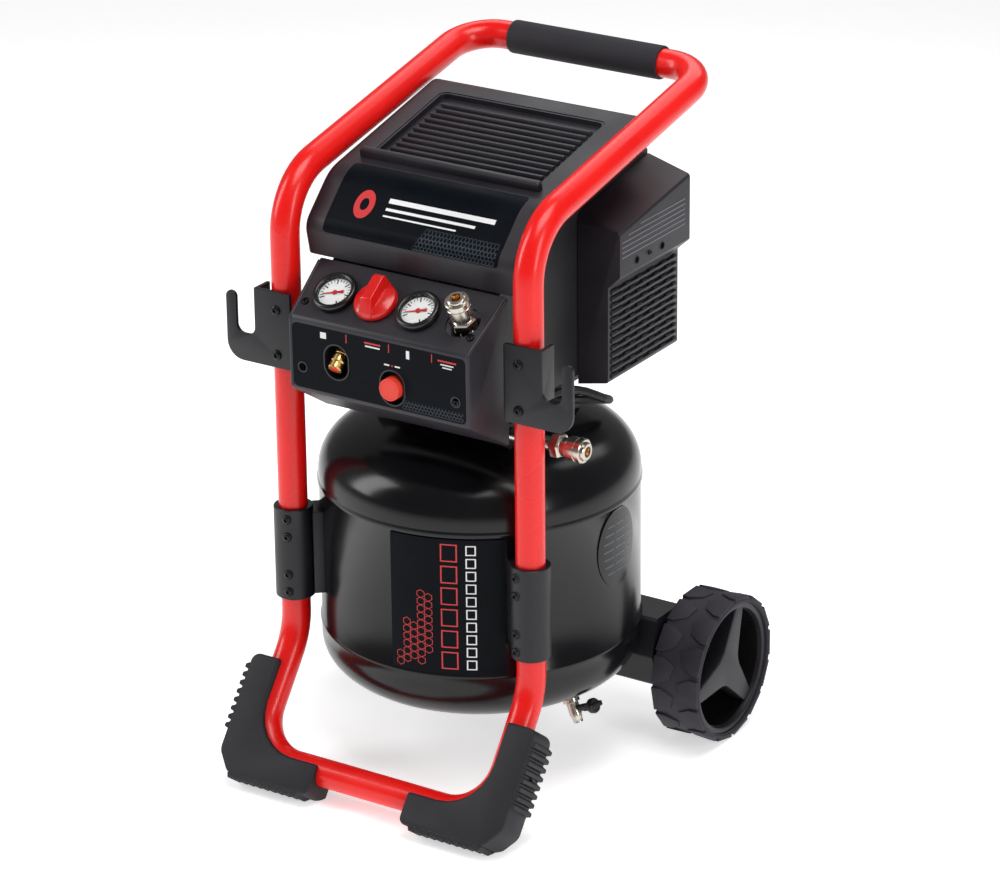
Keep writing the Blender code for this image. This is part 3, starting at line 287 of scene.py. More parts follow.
def surface(name, dark, light, rough, grain_mm, relief_mm, patch_mm=60.0, metallic=0.0, **sockets):
    """A finish with two close colours in soft patches, a fine grain in relief and a rough range.

    grain_mm is the real spacing of the grain, and relief_mm how deep it is.
    """
    finish = bpy.data.materials.new(name)
    finish.use_nodes = True
    tree = finish.node_tree
    shader = tree.nodes["Principled BSDF"]
    shader.inputs["Metallic"].default_value = metallic
    for key, value in sockets.items():
        shader.inputs[key.replace("_", " ")].default_value = value
    where = add(tree, "ShaderNodeTexCoord").outputs["Object"]
    patches = add(tree, "ShaderNodeTexNoise", {"Vector": where, "Scale": 1 / (patch_mm * MM), "Detail": 3.0})
    grain = add(tree, "ShaderNodeTexNoise", {"Vector": where, "Scale": 1 / (grain_mm * MM), "Detail": 4.0,
                                             "Roughness": 0.6})
    both = add(tree, "ShaderNodeMath", {0: patches.outputs["Fac"], 1: grain.outputs["Fac"]}, operation="MULTIPLY")
    tone = add(tree, "ShaderNodeMapRange", {"Value": both.outputs[0], "From Min": 0.12, "From Max": 0.40})
    colour = add(tree, "ShaderNodeMix", {"Factor": tone.outputs[0]}, data_type="RGBA")
    colour.inputs["A"].default_value = linear(dark)
    colour.inputs["B"].default_value = linear(light)
    tree.links.new(colour.outputs["Result"], shader.inputs["Base Color"])
    gloss = add(tree, "ShaderNodeMapRange", {"Value": patches.outputs["Fac"], "From Min": 0.3, "From Max": 0.7,
                                             "To Min": rough[0], "To Max": rough[1]})
    tree.links.new(gloss.outputs[0], shader.inputs["Roughness"])
    relief = add(tree, "ShaderNodeBump", {"Height": grain.outputs["Fac"], "Strength": 0.5,
                                          "Distance": relief_mm * MM})
    tree.links.new(relief.outputs["Normal"], shader.inputs["Normal"])
    return finish


# Polyester powder coat, cured in an oven: a hard glossy skin with a faint orange peel.
RED_PAINT = surface("red_powder_coat", "#E40E0B", "#F01812", (0.24, 0.34), 2.2, 0.05, Coat_Weight=0.15,
                    Coat_Roughness=0.12, Specular_IOR_Level=0.4)
# The same kind of coat in satin black on pressed steel.
BLACK_PAINT = surface("black_powder_coat", "#0D0B11", "#17151B", (0.38, 0.48), 1.6, 0.06, Specular_IOR_Level=0.42)
# Sprayed enamel on a welded tank: deep black with soft wide highlights.
TANK_ENAMEL = surface("tank_enamel", "#060508", "#0E0D11", (0.16, 0.24), 1.4, 0.05, Specular_IOR_Level=0.36)
# Injection-moulded ABS with a spark-eroded grain: dull dark grey that catches a soft sheen.
HOUSING_ABS = surface("moulded_abs", "#17141B", "#221F27", (0.40, 0.52), 0.9, 0.10)
# The same ABS in a lighter tone: a painted highlight for the fine grooves along the side covers, where their faces
# catch the light.
GROOVE_HIGHLIGHT_ABS = surface("abs_painted_groove_highlight", "#56535B", "#67646D", (0.28, 0.38), 0.9, 0.03)
# Unpainted black ABS in the shade of the covers.
DARK_ABS = surface("black_abs", "#121114", "#1C1B1F", (0.50, 0.62), 0.9, 0.08)
# Closed-cell foam sleeve: very dull, with a leathery skin.
GRIP_FOAM = surface("grip_foam", "#17151B", "#242129", (0.70, 0.85), 1.3, 0.22)
# Moulded rubber of the corner shoes.
SHOE_RUBBER = surface("shoe_rubber", "#131117", "#1F1D23", (0.52, 0.68), 1.2, 0.14, Specular_IOR_Level=0.42)
# Tyre rubber, a little greyer and dusty.
TYRE_RUBBER = surface("tyre_rubber", "#1F1C24", "#312D36", (0.58, 0.75), 1.2, 0.16, Specular_IOR_Level=0.42)
# Polypropylene hub with a satin skin.
HUB_PLASTIC = surface("hub_polypropylene", "#131118", "#1E1B22", (0.38, 0.50), 1.1, 0.07, Specular_IOR_Level=0.42)
# Braided rubber hose.
HOSE_RUBBER = surface("hose_rubber", "#131315", "#232326", (0.50, 0.65), 1.0, 0.15)
# Nickel plate on turned brass: warm grey mirror with fine tool marks.
NICKEL = surface("nickel_plate", "#B9B2A6", "#D9D4CA", (0.18, 0.30), 0.6, 0.02, metallic=1.0)
# Bare turned brass.
BRASS = surface("turned_brass", "#C89A55", "#E2BE7E", (0.18, 0.30), 0.6, 0.02, metallic=1.0)
# Zinc-plated steel of axles and shafts.
ZINC_STEEL = surface("zinc_plated_steel", "#9A9A9E", "#B9B9BD", (0.28, 0.42), 0.8, 0.03, metallic=1.0)
# Sand-cast aluminium.
CAST_ALUMINIUM = surface("cast_aluminium", "#A2A2A4", "#C0C0C2", (0.42, 0.58), 1.2, 0.12, metallic=1.0)
# Glossy red nylon of knob and cap.
RED_PLASTIC = surface("red_nylon", "#C8100F", "#DF1D19", (0.20, 0.30), 1.6, 0.03, Coat_Weight=0.2,
                      Coat_Roughness=0.1)
# Matte red push button.
BUTTON_RED = surface("red_button_plastic", "#D9301F", "#EA4230", (0.42, 0.55), 0.9, 0.06)
# Printed polyester film under a clear gloss laminate.
LABEL_FILM = surface("label_film", "#04070C", "#080D14", (0.30, 0.42), 3.0, 0.01, Specular_IOR_Level=0.07)
# Screen-printed inks on the film; the grey one also serves as the painted highlight on the rating plate's embossed
# text.
RED_INK = surface("red_ink", "#B81A1E", "#CC2428", (0.30, 0.38), 1.5, 0.01)
WHITE_INK = surface("white_ink", "#DADADA", "#EEEEEE", (0.30, 0.38), 1.5, 0.01)
GREY_INK_AND_EMBOSS_HIGHLIGHT = surface("grey_ink_and_emboss_highlight", "#29333D", "#35404B", (0.30, 0.38), 1.5, 0.01)
# Lacquered white gauge dial.
DIAL_WHITE = surface("dial_lacquer", "#E6E6E3", "#F4F4F2", (0.45, 0.55), 1.5, 0.01)
# Black painted gauge bezel, smoother than the housing; also the painted shade that lines the hub pockets.
BEZEL_AND_POCKET_SHADE_BLACK = surface("bezel_black_and_pocket_shade", "#0C0C0E", "#161618", (0.22, 0.32), 1.2, 0.03)
# Black oxide on hardened screws.
BLACK_OXIDE = surface("black_oxide_screw", "#121215", "#222226", (0.26, 0.38), 0.8, 0.04, metallic=0.6)


def clear_lens():
    """Polycarbonate lens: clear, with a faint haze so that it reads as a window."""
    finish = bpy.data.materials.new("clear_polycarbonate")
    finish.use_nodes = True
    tree = finish.node_tree
    shader = tree.nodes["Principled BSDF"]
    shader.inputs["Base Color"].default_value = linear("#F4F8FA")
    shader.inputs["Transmission Weight"].default_value = 1.0
    shader.inputs["IOR"].default_value = 1.10
    shader.inputs["Alpha"].default_value = 0.25
    where = add(tree, "ShaderNodeTexCoord").outputs["Object"]
    haze = add(tree, "ShaderNodeTexNoise", {"Vector": where, "Scale": 1 / (8 * MM)})
    gloss = add(tree, "ShaderNodeMapRange", {"Value": haze.outputs["Fac"], "To Min": 0.02, "To Max": 0.08})
    tree.links.new(gloss.outputs[0], shader.inputs["Roughness"])
    return finish


CLEAR_LENS = clear_lens()

SLOT_FINISH = {
    "red_paint": RED_PAINT, "black_paint": BLACK_PAINT, "tank_enamel": TANK_ENAMEL,
    "housing_abs": HOUSING_ABS, "dark_abs": DARK_ABS, "hub_plastic": HUB_PLASTIC, "grip_foam": GRIP_FOAM,
    "shoe_rubber": SHOE_RUBBER, "hose_rubber": HOSE_RUBBER, "tyre_rubber": TYRE_RUBBER, "nickel": NICKEL,
    "brass": BRASS, "steel": ZINC_STEEL, "aluminium": CAST_ALUMINIUM, "red_plastic": RED_PLASTIC,
    "lens": CLEAR_LENS,
}
for entry in frame["record"]["subparts"]:
    carried = frame["nodes"][entry["node"]]
    carried.data.materials.clear()
    carried.data.materials.append(SLOT_FINISH[entry["material_slot"]])


# ---- camera, light and floor ----
def add_camera():
    around, above, roll = radians(33.03), radians(22.41), radians(-0.63)
    back = Vector((sin(around) * cos(above), -cos(around) * cos(above), sin(above)))
    right = Vector((cos(around), sin(around), 0))
    up = back.cross(right)
    side = cos(roll) * right + sin(roll) * up
    top = cos(roll) * up - sin(roll) * right
    view = Matrix((side, top, back)).transposed().to_4x4()
    view.translation = at(22.43, 1.67, 321.37) + back * 4.03598
    lens = bpy.data.cameras.new("camera")
    lens.sensor_width = 36.0
    lens.lens = 152.67
    lens.clip_end = 50.0
    camera = bpy.data.objects.new("camera", lens)
    bpy.context.scene.collection.objects.link(camera)
    camera.matrix_world = view
    bpy.context.scene.camera = camera


def add_light(name, place, target, size, power):
    data = bpy.data.lights.new(name, "AREA")
    data.shape = "RECTANGLE"
    data.size, data.size_y = size
    data.energy = power
    lamp = bpy.data.objects.new(name, data)
    bpy.context.scene.collection.objects.link(lamp)
    lamp.location = place
    lamp.rotation_euler = (Vector(target) - Vector(place)).to_track_quat("-Z", "Y").to_euler()


def add_studio():
    world = bpy.data.worlds.new("studio")
    world.use_nodes = True
    world.node_tree.nodes["Background"].inputs["Color"].default_value = (1, 1, 1, 1)
    world.node_tree.nodes["Background"].inputs["Strength"].default_value = 0.20
    bpy.context.scene.world = world
    add_light("left_softbox", (-1.9, -1.2, 1.5), (0, 0, 0.35), (0.8, 1.8), 26)
    add_light("right_softbox", (2.2, -0.7, 1.2), (0, 0, 0.35), (0.5, 1.6), 17)
    add_light("overhead_softbox", (0.5, -0.3, 2.3), (0, 0, 0.3), (1.3, 1.1), 23)
    add_light("rear_softbox", (-0.3, 1.5, 2.0), (0, 0, 0.45), (2.0, 1.2), 15)
    bpy.ops.object.select_all(action="DESELECT")
    bpy.ops.mesh.primitive_plane_add(size=24, location=(0, 0, -0.0005))
    floor = settle("studio_floor")
    finish = surface("pale_floor", "#F7F7F7", "#FBFBFB", (0.75, 0.85), 30.0, 0.0, patch_mm=900,
                     Emission_Color=(1, 1, 1, 1), Emission_Strength=0.55)
    floor.data.materials.append(finish)
    bpy.context.scene.view_settings.view_transform = "Standard"


add_camera()
add_studio()


# ---- frame tubes and grip ----
TUBE_X, TUBE_Y, TUBE_R = 134, -120.6, 14
CROSS_BAR, FLOOR_BAR = (199, 648), (-196.5, 27.5)


def bent_tube(name, corners, bends, radius, sides=40, wall=1.6):
    """A ring of edges pulled along the straight runs and spun round each bend; solid with no wall."""
    first = (corners[1] - corners[0]).normalized()
    turn = Vector((0, 0, 1)).rotation_difference(first)
    bpy.ops.object.select_all(action="DESELECT")
    bpy.ops.mesh.primitive_circle_add(vertices=sides, radius=radius, location=corners[0],
                                      rotation=turn.to_euler())
    piece = begin(settle(name))
    here = corners[0]
    for before, corner, after, bend in zip(corners, corners[1:], corners[2:], bends):
        come = (corner - before).normalized()
        go = (after - corner).normalized()
        angle = come.angle(go)
        start = corner - come * bend * tan(angle / 2)
        pull(start - here)
        inward = (go - come * come.dot(go)).normalized()
        bpy.ops.mesh.spin(steps=12, angle=angle, center=start + inward * bend,
                          axis=go.cross(come).normalized())
        here = corner + go * bend * tan(angle / 2)
    pull(corners[-1] - here)
    if not wall:
        bpy.ops.mesh.select_all(action="SELECT")
        bpy.ops.mesh.fill_holes(sides=0)
    face_out()
    done()
    if wall:
        skin = piece.modifiers.new("wall", "SOLIDIFY")
        skin.thickness = wall * MM
        skin.offset = -1
        apply_all(piece)
    return piece


def make_frame():
    left = [at(-TUBE_X, TUBE_Y, 213.8), at(-TUBE_X, TUBE_Y, 582.3), at(-TUBE_X, *CROSS_BAR)]
    corners = left + [MIRROR @ p for p in reversed(left)]
    hoop = bent_tube("handle_tube", corners, [62 * MM, 40 * MM, 40 * MM, 62 * MM], TUBE_R * MM)
    hand_over(hoop, RED_PAINT, "machine", "red_paint", "handle_hoop")
    left = [at(-TUBE_X, TUBE_Y, 213.2), at(-TUBE_X, TUBE_Y, 128.4), at(-TUBE_X, *FLOOR_BAR)]
    corners = left + [MIRROR @ p for p in reversed(left)]
    hoop = bent_tube("foot_tube", corners, [70 * MM, 50 * MM, 50 * MM, 70 * MM], TUBE_R * MM)
    hand_over(hoop, RED_PAINT, "machine", "red_paint", "foot_hoop")
    grip = turned("foam_grip", [(14.2, -84), (15.3, -84), (16.1, -83.3), (16.4, -82), (16.4, 82), (16.1, 83.3),
                                (15.3, 84), (14.2, 84), (14.2, -84)], at(0, *CROSS_BAR), (1, 0, 0))
    hand_over(grip, GRIP_FOAM, "machine", "grip_foam", "handle_grip")


# ---- tank ----
SEAM_LOW, SEAM_HIGH = 134.9, 279.5


def cap_profile(height, steps=16, power=2.5):
    """Radius and rise of a pressed end cap, from its rim to its crown."""
    spots = []
    for k in range(steps + 1):
        rise = sin(k / steps * pi / 2)
        spots.append((TANK_R * (1 - rise ** power) ** (1 / power), height * rise))
    return spots


def make_tank():
    bead = [(TANK_R, 3.2), (TANK_R + 0.9, 1.4), (TANK_R + 0.9, -1.4), (TANK_R - 0.5, -3.0)]
    upper = [(r, SEAM_HIGH + 4 + z * 66 / 70) for r, z in cap_profile(70)][::-1]
    lower = [(r, SEAM_LOW - 12 - z) for r, z in cap_profile(58)]
    profile = upper + [(r, SEAM_HIGH + h) for r, h in bead]
    profile += [(r, SEAM_LOW - h) for r, h in bead[::-1]] + lower
    tank = turned("tank_shell", profile, at(0, 0, 0), steps=128)
    hand_over(tank, TANK_ENAMEL, "machine", "tank_enamel", "air_tank", angle=50)


# ---- screws ----
def button_screw(name, place, direction, radius=5.0):
    """A button-head cap screw with its hexagon socket."""
    head = turned(name, [(0, 0), (radius, 0), (radius, 0.5), (radius * 0.92, 1.5), (radius * 0.7, 2.3),
                         (radius * 0.5, 2.6), (0, 2.6)], steps=28)
    bpy.ops.object.select_all(action="DESELECT")
    bpy.ops.mesh.primitive_cylinder_add(vertices=6, radius=radius * 0.42 * MM, depth=3 * MM,
                                        location=(0, 0, 2.6 * MM))
    carve(head, settle("socket"))
    return stand(head, place, direction)


# ---- clamps on the tube joints ----
def make_clamps():
    low, high = 167, 260
    ring = turned("clamp", [(14.3, low), (18.2, low), (19, low + 0.8), (19, high - 0.8), (18.2, high),
                            (14.3, high), (14.3, low)], at(TUBE_X, TUBE_Y, 0), steps=48)
    away = Vector((-TUBE_X, -TUBE_Y, 0)).normalized()
    across = Vector((-away.y, away.x, 0))
    start = at(TUBE_X, TUBE_Y, low + 4) + away * 16.5 * MM
    corners = [start - across * 15 * MM, start + across * 15 * MM, start + across * 15 * MM + away * 13.5 * MM,
               start - across * 15 * MM + away * 13.5 * MM]
    web = slab("clamp_web", corners, Vector((0, 0, (high - low - 8) * MM)), bevel=1.2 * MM)
    carve(ring, web, "UNION")
    screws = weld([button_screw(f"clamp_screw_{z}", at(TUBE_X - 5, TUBE_Y - 18.2, z), (-0.1, -1, 0), 4.6)
                   for z in (176, 194, 233, 251)], "clamp_screws_right")
    for side, change in SIDES:
        clamp = copy_of(ring, f"joint_clamp_{side}", change)
        hand_over(clamp, BLACK_PAINT, "machine", "black_paint", f"tube_clamp_{side}")
        hand_over(copy_of(screws, f"joint_clamp_screws_{side}", change), BLACK_OXIDE, "machine", "steel")
    throw_away(ring, screws)


# ---- hose hooks ----
def make_hooks():
    front = -134.9
    outline = rounded([at(x, front, z) for x, z in ((118, 405), (191.5, 405), (191.5, 472.7), (180, 472.7),
                                                    (180, 432.5), (159, 432.5), (159, 481), (118, 481))],
                      [r * MM for r in (3, 18, 5.6, 5.6, 8.5, 8.5, 2, 2)])
    plate = slab("hook", outline, Vector((0, -4 * MM, 0)), bevel=0.7 * MM)
    flange = block("flange", at(155.2, front - 3.9, 429), at(159, front + 18, 480.9), bevel=0.8 * MM)
    carve(plate, flange, "UNION")
    screws = weld([button_screw(f"hook_screw_{z}", at(134, front - 4, z), (0, -1, 0)) for z in (418, 463)],
                  "hook_screws")
    for side, change in SIDES:
        hook = copy_of(plate, f"hose_hook_{side}", change)
        hand_over(hook, BLACK_PAINT, "machine", "black_paint", f"hook_bracket_{side}")
        hand_over(copy_of(screws, f"hose_hook_screws_{side}", change), BLACK_OXIDE, "machine", "steel")
    throw_away(plate, screws)


# ---- corner shoes ----
FOOT_LEAN = atan2(75.9, 100.9)
UP_LEG = Vector((0, sin(FOOT_LEAN), cos(FOOT_LEAN)))
OFF_FOOT = Vector((0, -cos(FOOT_LEAN), sin(FOOT_LEAN)))


def on_foot(x, along, off):
    """A place in the foot hoop's plane: across, up the sloping leg, and off it to the front."""
    return at(x, *FLOOR_BAR) + (UP_LEG * along + OFF_FOOT * off) * MM


def make_shoes():
    reach, tip = 27.2, 31.2
    outline = rounded([on_foot(x, s, -19) for x, s in (
        (TUBE_X - 82, -reach), (TUBE_X + reach - 16, -reach), (TUBE_X + reach, -reach + 20),
        (TUBE_X + reach, 92), (TUBE_X - 4, 92), (TUBE_X - 4, 4), (TUBE_X - 82, 4))],
        [r * MM for r in (7, 12, 14, 9, 3, 46, 3)])
    shoe = slab("shoe", outline, OFF_FOOT * 38 * MM, bevel=2.6 * MM, segments=3)
    teeth = []
    for k in range(8):
        s = 18 + k * 8.6
        teeth.append([(TUBE_X + reach - 1, s - 4.1), (TUBE_X + tip, s - 2.6), (TUBE_X + tip, s + 0.8),
                      (TUBE_X + reach - 1, s + 3.4)])
    for k in range(10):
        x = TUBE_X - 68 + k * 8.4
        teeth.append([(x - 3.2, -reach + 1), (x - 0.6, -tip), (x + 1.2, -tip), (x + 3.4, -reach + 1)])
    ribs = [slab(f"rib_{n}", [on_foot(x, s, -18.6) for x, s in tooth], OFF_FOOT * 36.6 * MM, bevel=0.5 * MM,
                 segments=1) for n, tooth in enumerate(teeth)]
    groove = [at(TUBE_X, TUBE_Y, 150), at(TUBE_X, TUBE_Y, 128.4), at(TUBE_X, *FLOOR_BAR), at(0, *FLOOR_BAR)]
    channel = bent_tube("channel", groove, [70 * MM, 50 * MM], (TUBE_R + 0.3) * MM, wall=0.0)
    carve(shoe, channel)
    shoe = weld([shoe] + ribs, "shoe")
    begin(shoe)
    bpy.ops.mesh.bisect(plane_co=(0, 0, 0), plane_no=(0, 0, 1), use_fill=True, clear_inner=True)
    done()
    screw = button_screw("shoe_screw", on_foot(TUBE_X + reach - 0.4, 50, -4), (1, 0, 0), 4.2)
    for side, change in SIDES:
        foot = copy_of(shoe, f"ribbed_shoe_{side}", change)
        hand_over(foot, SHOE_RUBBER, "machine", "shoe_rubber", f"corner_foot_{side}")
        hand_over(copy_of(screw, f"ribbed_shoe_screw_{side}", change), BLACK_OXIDE, "machine", "steel")
    throw_away(shoe, screw)


# ---- wheels ----
LUGS = 14


def make_wheels():
    low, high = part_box("tyre_right")
    centre = Vector(((low.x + high.x) / 2, (low.y + high.y) / 2, (low.z + high.z) / 2))
    half = (high.x - low.x) / 2 / MM
    tyre = turned("tyre", [(65.8, -half), (68.2, -half), (70.7, -half + 2.4), (70.7, half - 2.4), (68.6, half),
                           (67.6, half), (67.2, half - 1.0), (65.8, half - 1.0), (65.8, -half)],
                  steps=108)
    outer = [(-13.4, half - 0.8), (-13.4, half - 11), (-6.5, 1.8), (6.5, 5.6), (13.4, half - 8), (13.4, half - 0.8)]
    inner = [(t, -a) for t, a in outer]
    lugs = []
    for turn_by, row in ((0, outer), (180 / LUGS, inner)):
        lug = slab("lug", [Vector((67.4 * MM, t * MM, a * MM)) for t, a in row], Vector((4.6 * MM, 0, 0)),
                   bevel=0.6 * MM)
        for k in range(LUGS):
            turn = Matrix.Rotation(radians(turn_by + k * 360 / LUGS), 4, "Z")
            lugs.append(copy_of(lug, f"lug_{turn_by:.0f}_{k}", turn))
        throw_away(lug)
    tyre = weld([tyre] + lugs, "tyre")
    hub = turned("hub", [(0, half - 42), (58.0, half - 42), (59.5, half - 8), (60.5, half - 4), (62, half - 3),
                         (65.5, half - 3), (65.5, 3 - half), (6.4, 3 - half), (6.4, half - 44), (0, half - 44),
                         (0, half - 42)], steps=96)
    # A darker, glossier lining inside the hub's cup behind the spokes: painted shade for the deep pockets between the
    # spokes.
    pocket_shade = turned("pocket_shade", [(0, half - 41), (57.4, half - 41), (59.2, half - 8.4), (59.7, half - 8.4),
                             (58.2, half - 41.7), (0, half - 41.7), (0, half - 41)], steps=96)
    star = []
    for k in range(3):
        arm = radians(70 + 120 * k)
        valley = arm + radians(60)
        for across in (-6.8, 6.8):
            star.append(Vector((61 * cos(arm) - across * sin(arm), 61 * sin(arm) + across * cos(arm), 0)) * MM)
        star.append(Vector((17.5 * cos(valley), 17.5 * sin(valley), 0)) * MM)
    star = rounded([p + Vector((0, 0, (half - 24) * MM)) for p in star], [0, 0, 26 * MM] * 3, steps=8)
    spokes = slab("spokes", star, Vector((0, 0, 17.5 * MM)), bevel=1.4 * MM, segments=3)
    hub = weld([hub, spokes], "hub")
    for side, sign in (("right", 1), ("left", -1)):
        # the piece's Z goes out along the axle, and its X stays towards the back
        turn = Matrix(((0, 0, sign), (1, 0, 0), (0, 1, 0))).to_4x4()
        place = Matrix.Translation((sign * centre.x, centre.y, centre.z)) @ turn
        hand_over(copy_of(tyre, f"treaded_tyre_{side}", place), TYRE_RUBBER, f"wheel_{side}", "tyre_rubber",
                  f"tyre_{side}")
        hand_over(copy_of(hub, f"spoked_hub_{side}", place), HUB_PLASTIC, f"wheel_{side}", "hub_plastic",
                  f"wheel_hub_{side}")
        hand_over(copy_of(pocket_shade, f"hub_liner_{side}", place), BEZEL_AND_POCKET_SHADE_BLACK, f"wheel_{side}", "hub_plastic")
    throw_away(tyre, hub, pocket_shade)


# ---- control panel ----
FRONT_LOW, FRONT_HIGH, PANEL_BACK, PANEL_TOP, PANEL_LIP = (-166, 402), (-167, 474), -108.5, 512, 366
FRONT_RISE = FRONT_HIGH[1] - FRONT_LOW[1]
DIAL_UP = 33.5  # how far up the slope the dials and the knob sit
SLOPE = atan2(PANEL_TOP - FRONT_HIGH[1], PANEL_BACK - FRONT_HIGH[0])
UP_SLOPE = Vector((0, cos(SLOPE), sin(SLOPE)))
OFF_SLOPE = Vector((0, -sin(SLOPE), cos(SLOPE)))


def on_slope(x, along, off=0.0):
    return at(x, *FRONT_HIGH) + (UP_SLOPE * along + OFF_SLOPE * off) * MM


def on_front(x, z, off=0.0):
    return at(x, FRONT_LOW[0] + (FRONT_HIGH[0] - FRONT_LOW[0]) * (z - FRONT_LOW[1]) / FRONT_RISE - off, z)


def obround(name, x, z, radius, rise, start=4, depth=14):
    """A round plug stretched upwards, from in front of the panel inwards."""
    edge = [on_front(x + radius * cos(a), z + rise * (1 if a < pi else -1) + radius * sin(a), start)
            for a in (pi / 24 + k * pi / 12 for k in range(24))]
    return slab(name, edge, Vector((0, depth * MM, 0)))


def rim(name, x, z, radius, rise, wide=1.4):
    """A thin raised border round an opening of the panel."""
    return carve(obround(name, x, z, radius + wide, rise, 0.9, 1.6), obround("rim_hole", x, z, radius, rise))


def panel_holes(piece):
    carve(piece, obround("valve_recess", -46.2, 438, 13.4, 3.6))
    carve(piece, obround("button_recess", 15.5, 425.5, 13.4, 3.6))
    for x in (-84.6, 84.6):
        carve(piece, obround("screw_hole", x, 426, 4.6, 0.01))
    return piece


def hexagons(name, corner, across, up, cell, columns, rows, line=0.35):
    """Thin hexagon outlines side by side, each row half a cell further over."""
    bpy.ops.object.select_all(action="DESELECT")
    bpy.ops.mesh.primitive_circle_add(vertices=6, radius=cell * MM, fill_type="NGON")
    mesh = begin(settle(name), "FACE")
    bpy.ops.mesh.inset(thickness=line * MM)
    bpy.ops.mesh.delete(type="FACE")
    done()
    width = cell * sqrt(3)
    for count, step in ((columns, (0, width * MM, 0)), (rows, (cell * 1.5 * MM, width / 2 * MM, 0))):
        line_up = mesh.modifiers.new("array", "ARRAY")
        line_up.count = count
        line_up.use_relative_offset = False
        line_up.use_constant_offset = True
        line_up.constant_offset_displace = step
    apply_all(mesh)
    across, up = Vector(across).normalized(), Vector(up).normalized()
    turn = Matrix((up, across, up.cross(across))).transposed().to_4x4()
    return fix_at(mesh, Matrix.Translation(corner) @ turn)


def keep_side(piece, place, normal):
    """Cut a piece by a plane and keep what lies on the normal's side."""
    begin(piece)
    bpy.ops.mesh.bisect(plane_co=place, plane_no=normal, clear_inner=True)
    done()
    return piece


def lay_on(piece, target, axis, positive, lift=0.12):
    """Press a thin flat mark onto a curved film, a hair above it."""
    wrap = piece.modifiers.new("lay", "SHRINKWRAP")
    wrap.target = target
    wrap.wrap_method = "PROJECT"
    wrap.use_project_x = axis == "x"
    wrap.use_project_y = axis == "y"
    wrap.use_positive_direction = positive
    wrap.use_negative_direction = not positive
    wrap.wrap_mode = "ABOVE_SURFACE"
    wrap.offset = lift * MM
    return apply_all(piece)


def mark(name, low, high, off, line=0.0, cuts=7, sideways=False):
    """A flat bar of print, or of painted highlight on the rating plate, or only its outline, facing the front or the
    right and cut fine enough to bend.
    """
    bpy.ops.object.select_all(action="DESELECT")
    across, up = (low[0] + high[0]) / 2, (low[1] + high[1]) / 2
    place = at(off, across, up) if sideways else at(across, off, up)
    bpy.ops.mesh.primitive_plane_add(size=1, location=place, rotation=(pi / 2, 0, pi / 2 if sideways else 0))
    piece = begin(settle(name, ((high[0] - low[0]) * MM, (high[1] - low[1]) * MM, 1)), "FACE")
    if line:
        bpy.ops.mesh.inset(thickness=line * MM)
        bpy.ops.mesh.delete(type="FACE")
        bpy.ops.mesh.select_all(action="SELECT")
    bpy.ops.mesh.subdivide(number_cuts=cuts)
    done()
    return piece


def hollow_mark(name, low, high, off, line):
    return mark(name, low, high, off, line, cuts=3)


